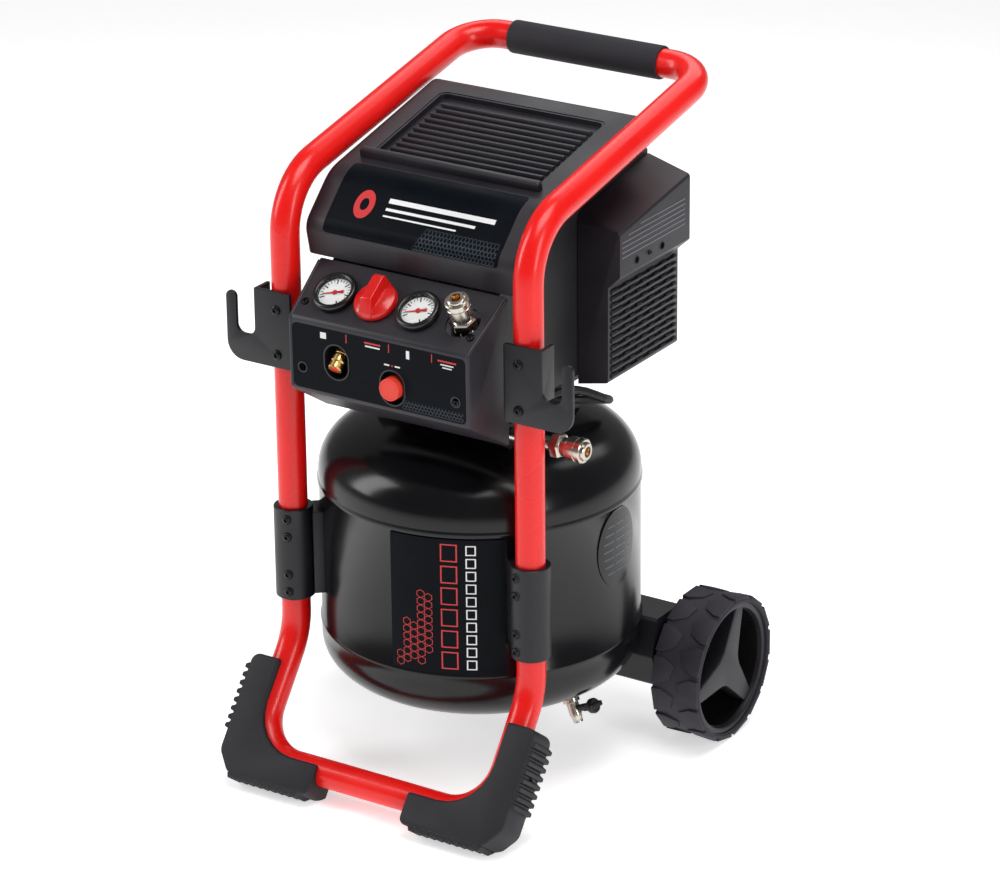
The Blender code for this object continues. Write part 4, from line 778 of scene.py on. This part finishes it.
def make_panel():
    profile = rounded([at(-98.5, *p) for p in ((PANEL_BACK, PANEL_LIP), FRONT_LOW, FRONT_HIGH,
                                               (PANEL_BACK, PANEL_TOP))], [0, 4 * MM, 6 * MM, 0])
    panel = slab("console", profile, Vector((197 * MM, 0, 0)))
    begin(panel)
    back_y = at(0, PANEL_BACK, 0).y
    pick(panel, "VERT", lambda v: v.co.y > back_y - 0.001)
    bpy.ops.transform.resize(value=(104 / 98.5, 1, 1), center_override=(0, 0, 0))
    pick(panel, "FACE", lambda f: all(v.co.y > back_y - 0.001 for v in f.verts))
    bpy.ops.mesh.delete(type="FACE")
    done()
    round_edges(panel, 3.2 * MM, 4, angle=50)
    wall = panel.modifiers.new("wall", "SOLIDIFY")
    wall.thickness = 2.6 * MM
    wall.offset = -1
    apply_all(panel)
    for x, radius in ((-64.5, 20.3), (27.5, 20.3), (-19, 6.8), (75.2, 17)):
        bpy.ops.object.select_all(action="DESELECT")
        bpy.ops.mesh.primitive_cylinder_add(vertices=48, radius=radius * MM, depth=24 * MM)
        carve(panel, stand(settle("dial_hole"), on_slope(x, DIAL_UP), OFF_SLOPE))
    for x in (-91, 91):
        pocket = turned("pocket", [(0, -1.5), (4.4, -1.5), (4.6, 6), (0, 6)], on_slope(x, 19, 0), OFF_SLOPE)
        carve(panel, pocket)
    panel_holes(panel)
    hand_over(panel, HOUSING_ABS, "machine", "housing_abs", "control_panel")
    screws = weld([button_screw(f"slope_screw_{x}", on_slope(x, 19, -1.4), OFF_SLOPE, 3.0) for x in (-91, 91)],
                  "slope_screws")
    hand_over(screws, BLACK_OXIDE, "machine", "steel")
    bead = bent_tube("bead", [at(97.2, -165.3, 405), at(97.2, -165.9, 473.4), at(102.0, -111, 509.6)], [6 * MM],
                     1.9 * MM, sides=16, wall=0.0)
    for side, change in SIDES:
        hand_over(copy_of(bead, f"console_bead_{side}", change), HOUSING_ABS, "machine", "housing_abs")
    throw_away(bead)

    rims = [rim("valve_rim", -46.2, 438, 13.0, 3.6), rim("button_rim", 15.5, 425.5, 13.0, 3.6),
            rim("screw_rim_left", -84.6, 426, 4.2, 0.01, 1.2), rim("screw_rim_right", 84.6, 426, 4.2, 0.01, 1.2)]
    hand_over(weld(rims, "opening_rims"), HOUSING_ABS, "machine", "housing_abs")
    cup = obround("valve_cup", -46.2, 438, 15.0, 3.6, -2.4, 26)
    carve(cup, obround("cup_inside", -46.2, 438, 13.4, 3.6, -1, 25))
    hand_over(cup, DARK_ABS, "machine", "dark_abs")

    film = rounded([on_front(x, z, 0.05) for x, z in ((-95.2, 405.5), (95.2, 405.5), (95.2, 469.0),
                                                      (-95.2, 469.0))], 5 * MM)
    film = panel_holes(slab("console_film", film, Vector((0, -0.35 * MM, 0))))
    hand_over(film, LABEL_FILM, "machine", "housing_abs")

    red = [block(f"divider_{x}", on_front(x, 459.5, 0.6), on_front(x + 0.9, 467.8, 0.35), 0.0)
           for x in (-35, 12, 59)]
    red += [block("legend_red_0", on_front(-14.5, 463.6, 0.6), on_front(3.5, 465.2, 0.35)),
            block("legend_red_1", on_front(66, 462.4, 0.6), on_front(86, 464.0, 0.35)),
            block("legend_dot", on_front(15.0, 446.6, 0.6), on_front(16.4, 448.0, 0.35))]
    hand_over(weld(red, "console_red_marks"), RED_INK, "machine", "red_plastic")
    white = [block("legend_white_0", on_front(-13.5, 460.4, 0.6), on_front(2.6, 461.8, 0.35)),
             block("legend_white_1", on_front(69, 459.2, 0.6), on_front(83, 460.4, 0.35)),
             block("legend_white_2", on_front(71, 456.4, 0.6), on_front(81, 457.6, 0.35)),
             block("legend_tank", on_front(-63.5, 459.0, 0.6), on_front(-57.0, 465.0, 0.35)),
             block("legend_air", on_front(31.5, 457.5, 0.6), on_front(35.0, 465.5, 0.35)),
             block("legend_off", on_front(7.0, 446.6, 0.6), on_front(12.6, 448.0, 0.35)),
             block("legend_on", on_front(18.8, 446.6, 0.6), on_front(24.4, 448.0, 0.35))]
    hand_over(weld(white, "console_white_marks"), WHITE_INK, "machine", "housing_abs")
    mesh = hexagons("console_hexagons", on_front(28, 409.0, 0.5), (1, 0, 0), (0, 0, 1), 2.1, 26, 6)
    keep_side(mesh, on_front(92.5, 420), (-1, 0, 0))
    hand_over(mesh, GREY_INK_AND_EMBOSS_HIGHLIGHT, "machine", "housing_abs")


def make_gauge(label, x):
    place = on_slope(x, DIAL_UP)
    case = turned(f"bezel_{label}", [(0, 2.2), (16.4, 2.2), (16.4, 5.4), (17.0, 6.6), (18.6, 7.2), (20.4, 7.0),
                                     (21.5, 5.6), (21.8, 3.0), (21.8, 0.4), (20, 0.3), (20, -18), (6, -18),
                                     (6, -28), (0, -28), (0, 2.2)], place, OFF_SLOPE, steps=64)
    hand_over(case, BEZEL_AND_POCKET_SHADE_BLACK, "machine", "dark_abs", f"gauge_case_{label}", angle=50)
    dial = turned(f"dial_{label}", [(0, 2.3), (16.2, 2.3), (16.2, 2.6), (0, 2.6)], place, OFF_SLOPE)
    hand_over(dial, DIAL_WHITE, "machine", "housing_abs")
    ticks = []
    for k in range(21):
        inner, half = (10.4, 0.6) if k % 4 == 0 else (12.4, 0.32)
        tick = block(f"tick_{k}", Vector((inner, -half, 2.6)) * MM, Vector((15.2, half, 2.75)) * MM)
        tick.matrix_world = Matrix.Rotation(radians(215 - k * 13.5), 4, "Z")
        ticks.append(tick)
    scale = stand(weld(ticks, f"scale_{label}"), place, OFF_SLOPE)
    hand_over(scale, BLACK_OXIDE, "machine", "dark_abs")
    pivot = turned(f"needle_{label}", [(0, 2.8), (2.5, 2.8), (2.5, 3.7), (1.7, 4.2), (0, 4.2)], steps=24)
    pointer = slab("pointer", [Vector((a * MM, b * MM, 3.0 * MM)) for a, b in
                               ((-8.5, -1.7), (-2, -0.9), (12.6, -0.4), (12.6, 0.4), (-2, 0.9), (-8.5, 1.7))],
                   Vector((0, 0, 0.5 * MM)))
    pointer.matrix_world = Matrix.Rotation(radians(200), 4, "Z")
    needle = stand(weld([pivot, pointer], f"needle_{label}"), place, OFF_SLOPE)
    hand_over(needle, RED_INK, f"needle_{label}", "red_plastic", f"gauge_needle_{label}")
    lens = turned(f"window_{label}", [(0, 4.7), (16.3, 4.7), (16.3, 5.3), (0, 5.6)], place, OFF_SLOPE)
    hand_over(lens, CLEAR_LENS, "machine", "lens", f"gauge_lens_{label}")


def make_knob():
    base = turned("pressure_knob_cap", [(0, 1), (21.0, 1), (21.2, 1.6), (21.1, 4.8), (19.9, 7.0), (14.5, 9.4),
                                        (8, 10.4), (0, 10.6)], steps=64)
    ridge = slab("ridge", rounded([Vector((-7.2, a, h)) * MM for a, h in ((-20.8, 2), (20.8, 2), (19.8, 18.6),
                                                                         (15.5, 20.4), (-9.5, 19.0), (-19.6, 8))],
                                  [r * MM for r in (0, 0, 1.5, 2, 3, 3)]), Vector((14.4 * MM, 0, 0)))
    begin(ridge)
    pick(ridge, "VERT", lambda v: v.co.z > 9 * MM)
    bpy.ops.transform.resize(value=(0.78, 1, 1), center_override=(0, 0, 0))
    done()
    round_edges(ridge, 0.8 * MM, 3)
    carve(base, ridge, "UNION")
    turn = Matrix((Vector((1, 0, 0)), UP_SLOPE, OFF_SLOPE)).transposed().to_4x4()
    fix_at(base, Matrix.Translation(on_slope(-19, DIAL_UP)) @ turn)
    hand_over(base, RED_PLASTIC, "pressure_knob", "red_plastic", "regulator_knob")


def make_button():
    low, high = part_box("switch_button")
    length = (high.y - low.y) / MM
    face = Vector(((low.x + high.x) / 2, low.y, (low.z + high.z) / 2))
    button = turned("push_button", [(0, 0.5), (8.6, 0.5), (9.0, 0), (10.0, 0.2), (10.8, 1.2), (10.8, length),
                                    (0, length)], face, (0, 1, 0))
    hand_over(button, BUTTON_RED, "on_off_button", "red_plastic", "switch_button")


def make_safety_valve():
    place = at(-46.2, -150, 449)
    out = Vector((0, -cos(radians(40)), -sin(radians(40))))
    body = turned("relief_valve", [(2.4, 20), (6.0, 20), (6.6, 19.2), (7.2, 18.4), (7.2, 12.5), (6.6, 12.0),
                                   (6.6, 11.2), (7.2, 10.7), (7.2, 7), (5, 6), (5, -14), (0, -14), (0, 8),
                                   (2.4, 8), (2.4, 20)], place, out, steps=6 * 8)
    hand_over(body, BRASS, "machine", "brass", "safety_valve_body")
    nut = turned("relief_valve_nut", [(5.1, -2.0), (8.0, -2.0), (8.0, 4.6), (5.1, 5.6), (5.1, -2.0)], place, out, 6)
    hand_over(nut, BRASS, "machine", "brass", angle=20)
    collar = turned("relief_collar", [(5.0, 23.5), (5.0, 26.4), (6.2, 26.4), (6.8, 25.6), (6.8, 20.4), (5.0, 20.4),
                                      (5.0, 23.5)], place, out)
    hand_over(collar, BRASS, "relief_pin", "brass")
    pin = turned("relief_cap", [(0, 25.9), (1.6, 25.9), (2.0, 25.2), (4.9, 25.2), (4.9, 20.5), (2.0, 20.4),
                                (2.0, 8.6), (0, 8.6), (0, 25.9)], place, out)
    hand_over(pin, BUTTON_RED, "relief_pin", "red_plastic", "safety_valve_pin")


def make_coupler(label, place, out, tail):
    body = turned(f"coupler_{label}", [(5.2, 40), (7.6, 40), (8.6, 39.2), (8.8, 38.4), (8.8, 14), (9.6, 13.4),
                                       (9.6, 3.4), (6.5, 3), (6.5, -tail), (0, -tail), (0, 24), (5.2, 24), (5.2, 40)],
                  place, out)
    hand_over(body, NICKEL, "machine", "nickel", f"coupler_body_{label}")
    nut = turned(f"coupler_nut_{label}", [(9.6, 3.6), (11.2, 3.6), (12.2, 5.0), (12.2, 12.0), (11.2, 13.4),
                                          (9.6, 13.4), (9.6, 3.6)], place, out, 6, roll=0.3)
    hand_over(nut, NICKEL, "machine", "nickel", angle=20)
    bush = turned(f"coupler_bush_{label}", [(3.4, 25), (5.1, 25), (5.1, 37.6), (4.4, 38.4), (3.4, 36), (3.4, 25)],
                  place, out)
    hand_over(bush, BRASS, "machine", "brass")
    sleeve = turned(f"pull_sleeve_{label}", [(9.1, 20.5), (10.8, 20.5), (11.4, 21.3), (11.4, 29.5), (10.7, 30),
                                             (10.7, 31), (11.8, 31.6), (11.8, 36.2), (11.0, 37), (9.1, 37),
                                             (9.1, 20.5)], place, out)
    hand_over(sleeve, NICKEL, f"sleeve_{label}", "nickel", f"coupler_sleeve_{label}")


# ---- top cover ----
DECK_RISE = 0.2256


def deck_z(y):
    return 590 + (y + 60) * DECK_RISE


UP_DECK = Vector((0, 1, DECK_RISE)).normalized()
OFF_DECK = Vector((0, -DECK_RISE, 1)).normalized()


def on_deck(x, along, off=0.0):
    return at(x, 0, deck_z(0)) + (UP_DECK * along + OFF_DECK * off) * MM


def make_top_cover():
    half = 118.3
    outer = [(-108.5, 514.3), (-115, 545), (-72, deck_z(-72)), (104, deck_z(104)), (139, deck_z(139) - 27)]
    inner = [(-40, deck_z(-40) - 27), (-72, 556), (-92, 514.3)]
    steps = 8
    line = rounded([at(-half, *p) for p in outer + inner], [r * MM for r in (0, 20, 46, 12, 0, 10, 10, 0)], steps)
    tail = 1 + 3 * (steps + 1)
    skin = [p.copy() for p in line[:tail + 1]]
    cover = slab("lid", line, Vector((2 * half * MM, 0, 0)))
    spots = line[tail:] + line[:1]

    def under(face):
        if abs(face.normal.x) > 0.5:
            return False
        centre = face.calc_center_median()
        for a, b in zip(spots, spots[1:]):
            span = (b - a).yz
            step = (centre - a).yz
            t = step.dot(span) / span.length_squared
            if -0.01 < t < 1.01 and (step - span * t).length < 0.0002:
                return True
        return False

    begin(cover)
    pick(cover, "FACE", under)
    bpy.ops.mesh.delete(type="FACE")
    done()
    round_edges(cover, 7 * MM, 5, angle=60)
    wall = cover.modifiers.new("wall", "SOLIDIFY")
    wall.thickness = 2.6 * MM
    wall.offset = -1
    apply_all(cover)
    opening = rounded([on_deck(x, a, -9) for x, a in ((-93, -36), (93, -36), (93, 86.5), (-93, 86.5))],
                      [3 * MM, 3 * MM, 9 * MM, 9 * MM])
    carve(cover, slab("opening", opening, OFF_DECK * 20 * MM))
    hand_over(cover, HOUSING_ABS, "machine", "housing_abs", "top_cover", angle=40)
    lip = rounded([on_deck(x, -47, h) for x, h in ((-99, -2), (99, -2), (99, 9), (-99, 9))],
                  [0, 0, 3.5 * MM, 3.5 * MM])
    lip = slab("deck_lip", lip, UP_DECK * 6.6 * MM, bevel=1.2 * MM)
    hand_over(lip, HOUSING_ABS, "machine", "housing_abs")

    tray = rounded([on_deck(x, a, -8) for x, a in ((-92.7, -35.7), (92.7, -35.7), (92.7, 86.2), (-92.7, 86.2))],
                   [3 * MM, 3 * MM, 9 * MM, 9 * MM])
    tray = slab("parts_tray", tray, OFF_DECK * 7.4 * MM)
    well = rounded([on_deck(x, a, -5.6) for x, a in ((-90.5, -33), (90.5, -33), (90.5, 84), (-90.5, 84))],
                   [2 * MM, 2 * MM, 7 * MM, 7 * MM])
    carve(tray, slab("well", well, OFF_DECK * 10 * MM))
    ribs = []
    for k in range(11):
        a = -30 + k * 9.6
        ribs.append(slab(f"tray_rib_{k}", [on_deck(-84 + min(k, 9) * 0.4, a, -5.7), on_deck(-84, a + 6.2, -5.7),
                                           on_deck(-84, a + 5.2, -2.7), on_deck(-84, a + 1.4, -1.7)],
                         Vector((168 * MM, 0, 0)), bevel=0.5 * MM))
    tray = weld([tray] + ribs, "parts_tray")
    hand_over(tray, HOUSING_ABS, "machine", "housing_abs", "storage_tray")

    # film over the brow: the cover's own curve, drawn out sideways
    low_z, high_y = at(0, 0, 540.5).z, at(0, -57, 0).y
    run = [p for p in skin if p.z >= low_z and p.y <= high_y]
    run = [at(-96, -114.2, 540.5)] + run + [on_deck(-96, -57 / 0.9755, 0)]
    run = [Vector((-96 * MM, p.y, p.z)) for p in run]
    film = trace("brow_film", run)
    bpy.ops.mesh.select_all(action="SELECT")
    pull(Vector((192 * MM, 0, 0)))
    bpy.ops.mesh.select_all(action="SELECT")
    bpy.ops.mesh.normals_make_consistent(inside=False)
    ends = (run[0].z + 0.0005, run[-1].y - 0.0005)
    pick(film, "VERT", lambda v: v.co.z < ends[0])
    bpy.ops.mesh.bevel(offset=7 * MM, segments=5, affect="VERTICES")
    pick(film, "VERT", lambda v: v.co.y > ends[1])
    bpy.ops.mesh.bevel(offset=4 * MM, segments=3, affect="VERTICES")
    done()
    thick = film.modifiers.new("film", "SOLIDIFY")
    thick.thickness = 0.8 * MM
    thick.offset = 0
    apply_all(film)
    hand_over(film, LABEL_FILM, "machine", "housing_abs", angle=60)
    mesh = hexagons("brow_hexagons", at(6, -125, 543.0), (1, 0, 0), (0, 0, 1), 2.3, 26, 5)
    keep_side(mesh, at(92.5, 0, 0), (-1, 0, 0))
    lay_on(mesh, film, "y", True)
    hand_over(mesh, GREY_INK_AND_EMBOSS_HIGHLIGHT, "machine", "housing_abs")
    bars = [mark("bar_0", (-38, 571), (78, 574.5), -125), mark("bar_1", (-38, 565.5), (60, 567.5), -125),
            mark("bar_2", (-38, 561), (42, 562.2), -125)]
    hand_over(lay_on(weld(bars, "brow_stripes"), film, "y", True), WHITE_INK, "machine", "housing_abs")
    bpy.ops.object.select_all(action="DESELECT")
    bpy.ops.mesh.primitive_circle_add(vertices=40, radius=10.5 * MM, fill_type="NGON", location=at(-62, -125, 567),
                                      rotation=(pi / 2, 0, 0))
    badge = begin(settle("brow_badge"), "FACE")
    bpy.ops.mesh.inset(thickness=3 * MM)
    bpy.ops.mesh.inset(thickness=3 * MM)
    bpy.ops.mesh.delete(type="FACE")
    done()
    hand_over(lay_on(badge, film, "y", True), RED_INK, "machine", "red_plastic")


# ---- side covers ----
def make_side_covers():
    front, rear, low = 29.5, 157, 379
    section = rounded([at(x, front, z) for x, z in ((93, low), (126, low + 7), (126, 481.5), (139, 493.5),
                                                    (139, 537), (93, 550))], [0, 3 * MM, 4 * MM, 3 * MM, 4 * MM, 0])
    cover = slab("side_cover", section, Vector((0, (rear - front) * MM, 0)))
    begin(cover)
    back_y = at(0, rear, 0).y
    front_y = at(0, front, 0).y
    pick(cover, "VERT", lambda v: v.co.z > 503 * MM and v.co.y > back_y - 0.001)
    bpy.ops.transform.translate(value=(0, 0, (rear - front) * 0.17 * MM))
    pick(cover, "FACE", lambda f: all(v.co.x < 93.05 * MM for v in f.verts))
    bpy.ops.mesh.delete(type="FACE")
    pick(cover, "EDGE", lambda e: all(v.co.y > back_y - 0.001 and v.co.x > 125 * MM for v in e.verts)
         and abs(e.verts[0].co.x - e.verts[1].co.x) < 0.0005 and e.calc_length() > 0.01)
    bpy.ops.mesh.bevel(offset=9 * MM, segments=6, affect="EDGES")
    pick(cover, "EDGE", lambda e: all(v.co.y < front_y + 0.001 for v in e.verts) and e.calc_length() > 0.01
         and all(v.co.z > 536 * MM for v in e.verts))
    bpy.ops.mesh.bevel(offset=9 * MM, segments=2, affect="EDGES")
    done()
    round_edges(cover, 1.6 * MM, 3, angle=28)
    wall = cover.modifiers.new("wall", "SOLIDIFY")
    wall.thickness = 2.6 * MM
    wall.offset = -1
    apply_all(cover)
    # The fine grooves as raised lines in the lighter ABS: a painted highlight where the groove faces catch the light.
    lines = weld([block(f"line_{k}", at(138.2, start, 511.3 + 5 * k), at(139.5, 147.5, 512.6 + 5 * k), 0.4 * MM)
                  for k, start in enumerate((33, 33, 33, 33, 44, 66))], "lines")
    rings = []
    for y in (60, 106):
        carve(cover, turned("port", [(0, -6), (3.9, -6), (3.9, 6), (0, 6)], at(139, y, 502.5), (1, 0, 0)))
        rings.append(turned("ring", [(3.7, -3), (4.5, -3), (4.5, 0.3), (3.7, 0.3), (3.7, -3)], at(139, y, 502.5),
                            (1, 0, 0), steps=32))
    rings = weld(rings, "port_rings")
    ribs = []
    rib = turned("rib", [(0, 0), (2.0, 0.5), (2.9, 2.4), (2.9, 117), (2.0, 119), (0, 119.5)], at(126, 33.5, 0),
                 (0, 1, 0), steps=16)
    for k in range(13):
        ribs.append(copy_of(rib, f"rib_{k}", Matrix.Translation((0, 0, (391.5 + 7 * k) * MM))))
    throw_away(rib)
    grille = weld(ribs, "grille")
    slots = []
    for k in range(13):
        for n in range(5):
            y = 44 + n * 22 + (k % 2) * 9
            slots.append(block(f"slot_{k}_{n}", at(125.6, y, 392.7 + 7 * k), at(132, y + 13, 394.9 + 7 * k)))
    carve(grille, weld(slots, "slots"))
    screw = button_screw("cover_screw", at(138.8, 82.6, 503), (1, 0, 0), 2.4)
    for side, change in SIDES:
        hand_over(copy_of(cover, f"side_shell_{side}", change), HOUSING_ABS, "machine", "housing_abs",
                  f"side_cover_{side}", angle=28)
        hand_over(copy_of(grille, f"side_grille_{side}", change), HOUSING_ABS, "machine", "housing_abs")
        hand_over(copy_of(screw, f"side_screw_{side}", change), BLACK_OXIDE, "machine", "steel")
        hand_over(copy_of(lines, f"side_lines_{side}", change), GROOVE_HIGHLIGHT_ABS, "machine", "housing_abs")
        hand_over(copy_of(rings, f"side_rings_{side}", change), HOUSING_ABS, "machine", "housing_abs")
    throw_away(cover, grille, screw, lines, rings)


def make_rear_brow():
    """A sloping bar that closes the housing behind the top cover."""
    outline = [at(-90, y, z) for y, z in ((112, 573), (156.6, 573), (156.6, 577), (141, 597), (130, 612), (112, 612))]
    brow = slab("rear_brow", outline, Vector((180 * MM, 0, 0)), bevel=1.5 * MM)
    hand_over(brow, HOUSING_ABS, "machine", "housing_abs")


# ---- tank dressing ----
def make_tank_label():
    first, last = radians(-89.5), radians(-48.5)
    arc = [at((TANK_R + 0.1) * cos(a), (TANK_R + 0.1) * sin(a), 138)
           for a in (first + (last - first) * k / 24 for k in range(25))]
    film = trace("tank_film", arc)
    bpy.ops.mesh.select_all(action="SELECT")
    pull(Vector((0, 0, 137.5 * MM)))
    bpy.ops.mesh.select_all(action="SELECT")
    bpy.ops.mesh.normals_make_consistent(inside=False)
    done()
    thick = film.modifiers.new("film", "SOLIDIFY")
    thick.thickness = 0.6 * MM
    thick.offset = 0
    apply_all(film)
    hand_over(film, LABEL_FILM, "machine", "tank_enamel", angle=60)
    cells = []
    for column, (bottom, count) in enumerate(((0, 2), (0, 6), (1, 5), (0, 10), (2, 8))):
        cell = hexagons(f"cell_{column}", at(10.5 + column * 7.2, -165, 145 + bottom * 8.3 + (column % 2) * 4.15),
                        (0, 0, 1), (1, 0, 0), 4.4, count, 1, line=0.6)
        cells.append(cell)
    cells = lay_on(weld(cells, "tank_hexagons"), film, "y", True)
    hand_over(cells, RED_INK, "machine", "red_plastic")
    red = [hollow_mark(f"red_box_{k}", (51, 143 + 22 * k), (66, 161 + 22 * k), -165, 1.3) for k in range(6)]
    hand_over(lay_on(weld(red, "tank_red_boxes"), film, "y", True), RED_INK, "machine", "red_plastic")
    white = [hollow_mark(f"white_box_{k}", (73, 143 + 13 * k), (81.5, 153 + 13 * k), -165, 1.1) for k in range(10)]
    hand_over(lay_on(weld(white, "tank_white_boxes"), film, "y", True), WHITE_INK, "machine", "tank_enamel")


def make_rating_plate():
    low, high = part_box("rating_plate")
    middle = (low + high) / 2
    size = (high - low) / 2
    bpy.ops.object.select_all(action="DESELECT")
    bpy.ops.mesh.primitive_circle_add(vertices=64, radius=1, fill_type="NGON", location=(0.17, middle.y, middle.z),
                                      rotation=(0, pi / 2, 0))
    plate = begin(settle("data_plate", (size.z, size.y, 1)), "FACE")
    for ring in (2.2, 0.6, 4, 4, 4, 4, 4):
        bpy.ops.mesh.inset(thickness=ring * MM)
    done()
    lay_on(plate, bpy.data.objects["tank_shell"], "x", False, 0.9)
    thick = plate.modifiers.new("plate", "SOLIDIFY")
    thick.thickness = 0.9 * MM
    thick.offset = -1
    apply_all(plate)
    hand_over(plate, TANK_ENAMEL, "machine", "tank_enamel", "rating_plate", angle=40)
    # The plate's text is embossed in the plate's own black: these flat grey bars are a painted highlight for light on
    # the raised letters.
    rows = []
    for k in range(7):
        z = middle.z / MM + 8 * (k - 3)
        reach = 25 * sqrt(1 - (8 * (k - 3) / 36) ** 2)
        for a, b in ((-0.95, -0.3), (-0.2, 0.5), (0.6, 0.95)):
            rows.append(mark(f"row_{k}_{a}", (a * reach, z - 1.1), (b * reach, z + 1.1), 170, cuts=3, sideways=True))
    rows = lay_on(weld(rows, "plate_emboss_highlights"), plate, "x", False)
    hand_over(rows, GREY_INK_AND_EMBOSS_HIGHLIGHT, "machine", "tank_enamel")


def make_drain():
    joint = next(j for j in frame["joints"] if j["name"] == "drain_turn")
    cross, axis = Vector(joint["pos_m"]), Vector(joint["axis"])
    around, tilt = radians(-8), radians(24)
    out = Vector((sin(tilt) * cos(around), sin(tilt) * sin(around), -cos(tilt)))
    root = cross - out * 14.5 * MM
    body = turned("drain_tap_body", [(0, 1.5), (8.5, 1.5), (8.5, 7), (6.2, 8), (6.2, 20), (5.6, 20.6), (5.6, 22),
                                     (4.8, 24), (4.8, 28), (3.0, 28), (3.0, 26), (0, 26)], root, out, steps=6 * 6)
    hand_over(body, NICKEL, "machine", "nickel", "drain_valve_body")
    side = Vector(axis).cross(out).normalized()
    stem = turned("drain_wing", [(0, 8), (3.4, 8), (3.9, 20), (7.2, 23.5), (7.6, 27), (6.6, 29), (0, 29)], steps=32)
    wing = slab("wing", rounded([Vector((a, -2.4, h)) * MM for a, h in ((-8, 18), (8, 18), (9.5, 31), (-9.5, 31))],
                                2.5 * MM), Vector((0, 4.8 * MM, 0)), bevel=0.9 * MM)
    carve(stem, wing, "UNION")
    stem.matrix_world = (Matrix.Translation(cross)
                         @ Matrix((side, axis.cross(side), axis)).transposed().to_4x4())
    alone(stem)
    bpy.ops.object.transform_apply(location=True, rotation=True, scale=True)
    hand_over(stem, DARK_ABS, "drain_tap", "dark_abs", "drain_lever")


make_frame()
make_tank()
make_clamps()
make_hooks()
make_shoes()
make_wheels()
make_panel()
make_gauge("tank", -64.5)
make_gauge("outlet", 27.5)
make_knob()
make_button()
make_safety_valve()
make_coupler("panel", on_slope(75.2, 33.5, -10), Vector((0, -sin(radians(25)), cos(radians(25)))), 12)
make_coupler("side", at(136, -88, 369), Vector((1, 0, 0)), 45)
make_top_cover()
make_side_covers()
make_rear_brow()
make_tank_label()
make_rating_plate()
make_drain()
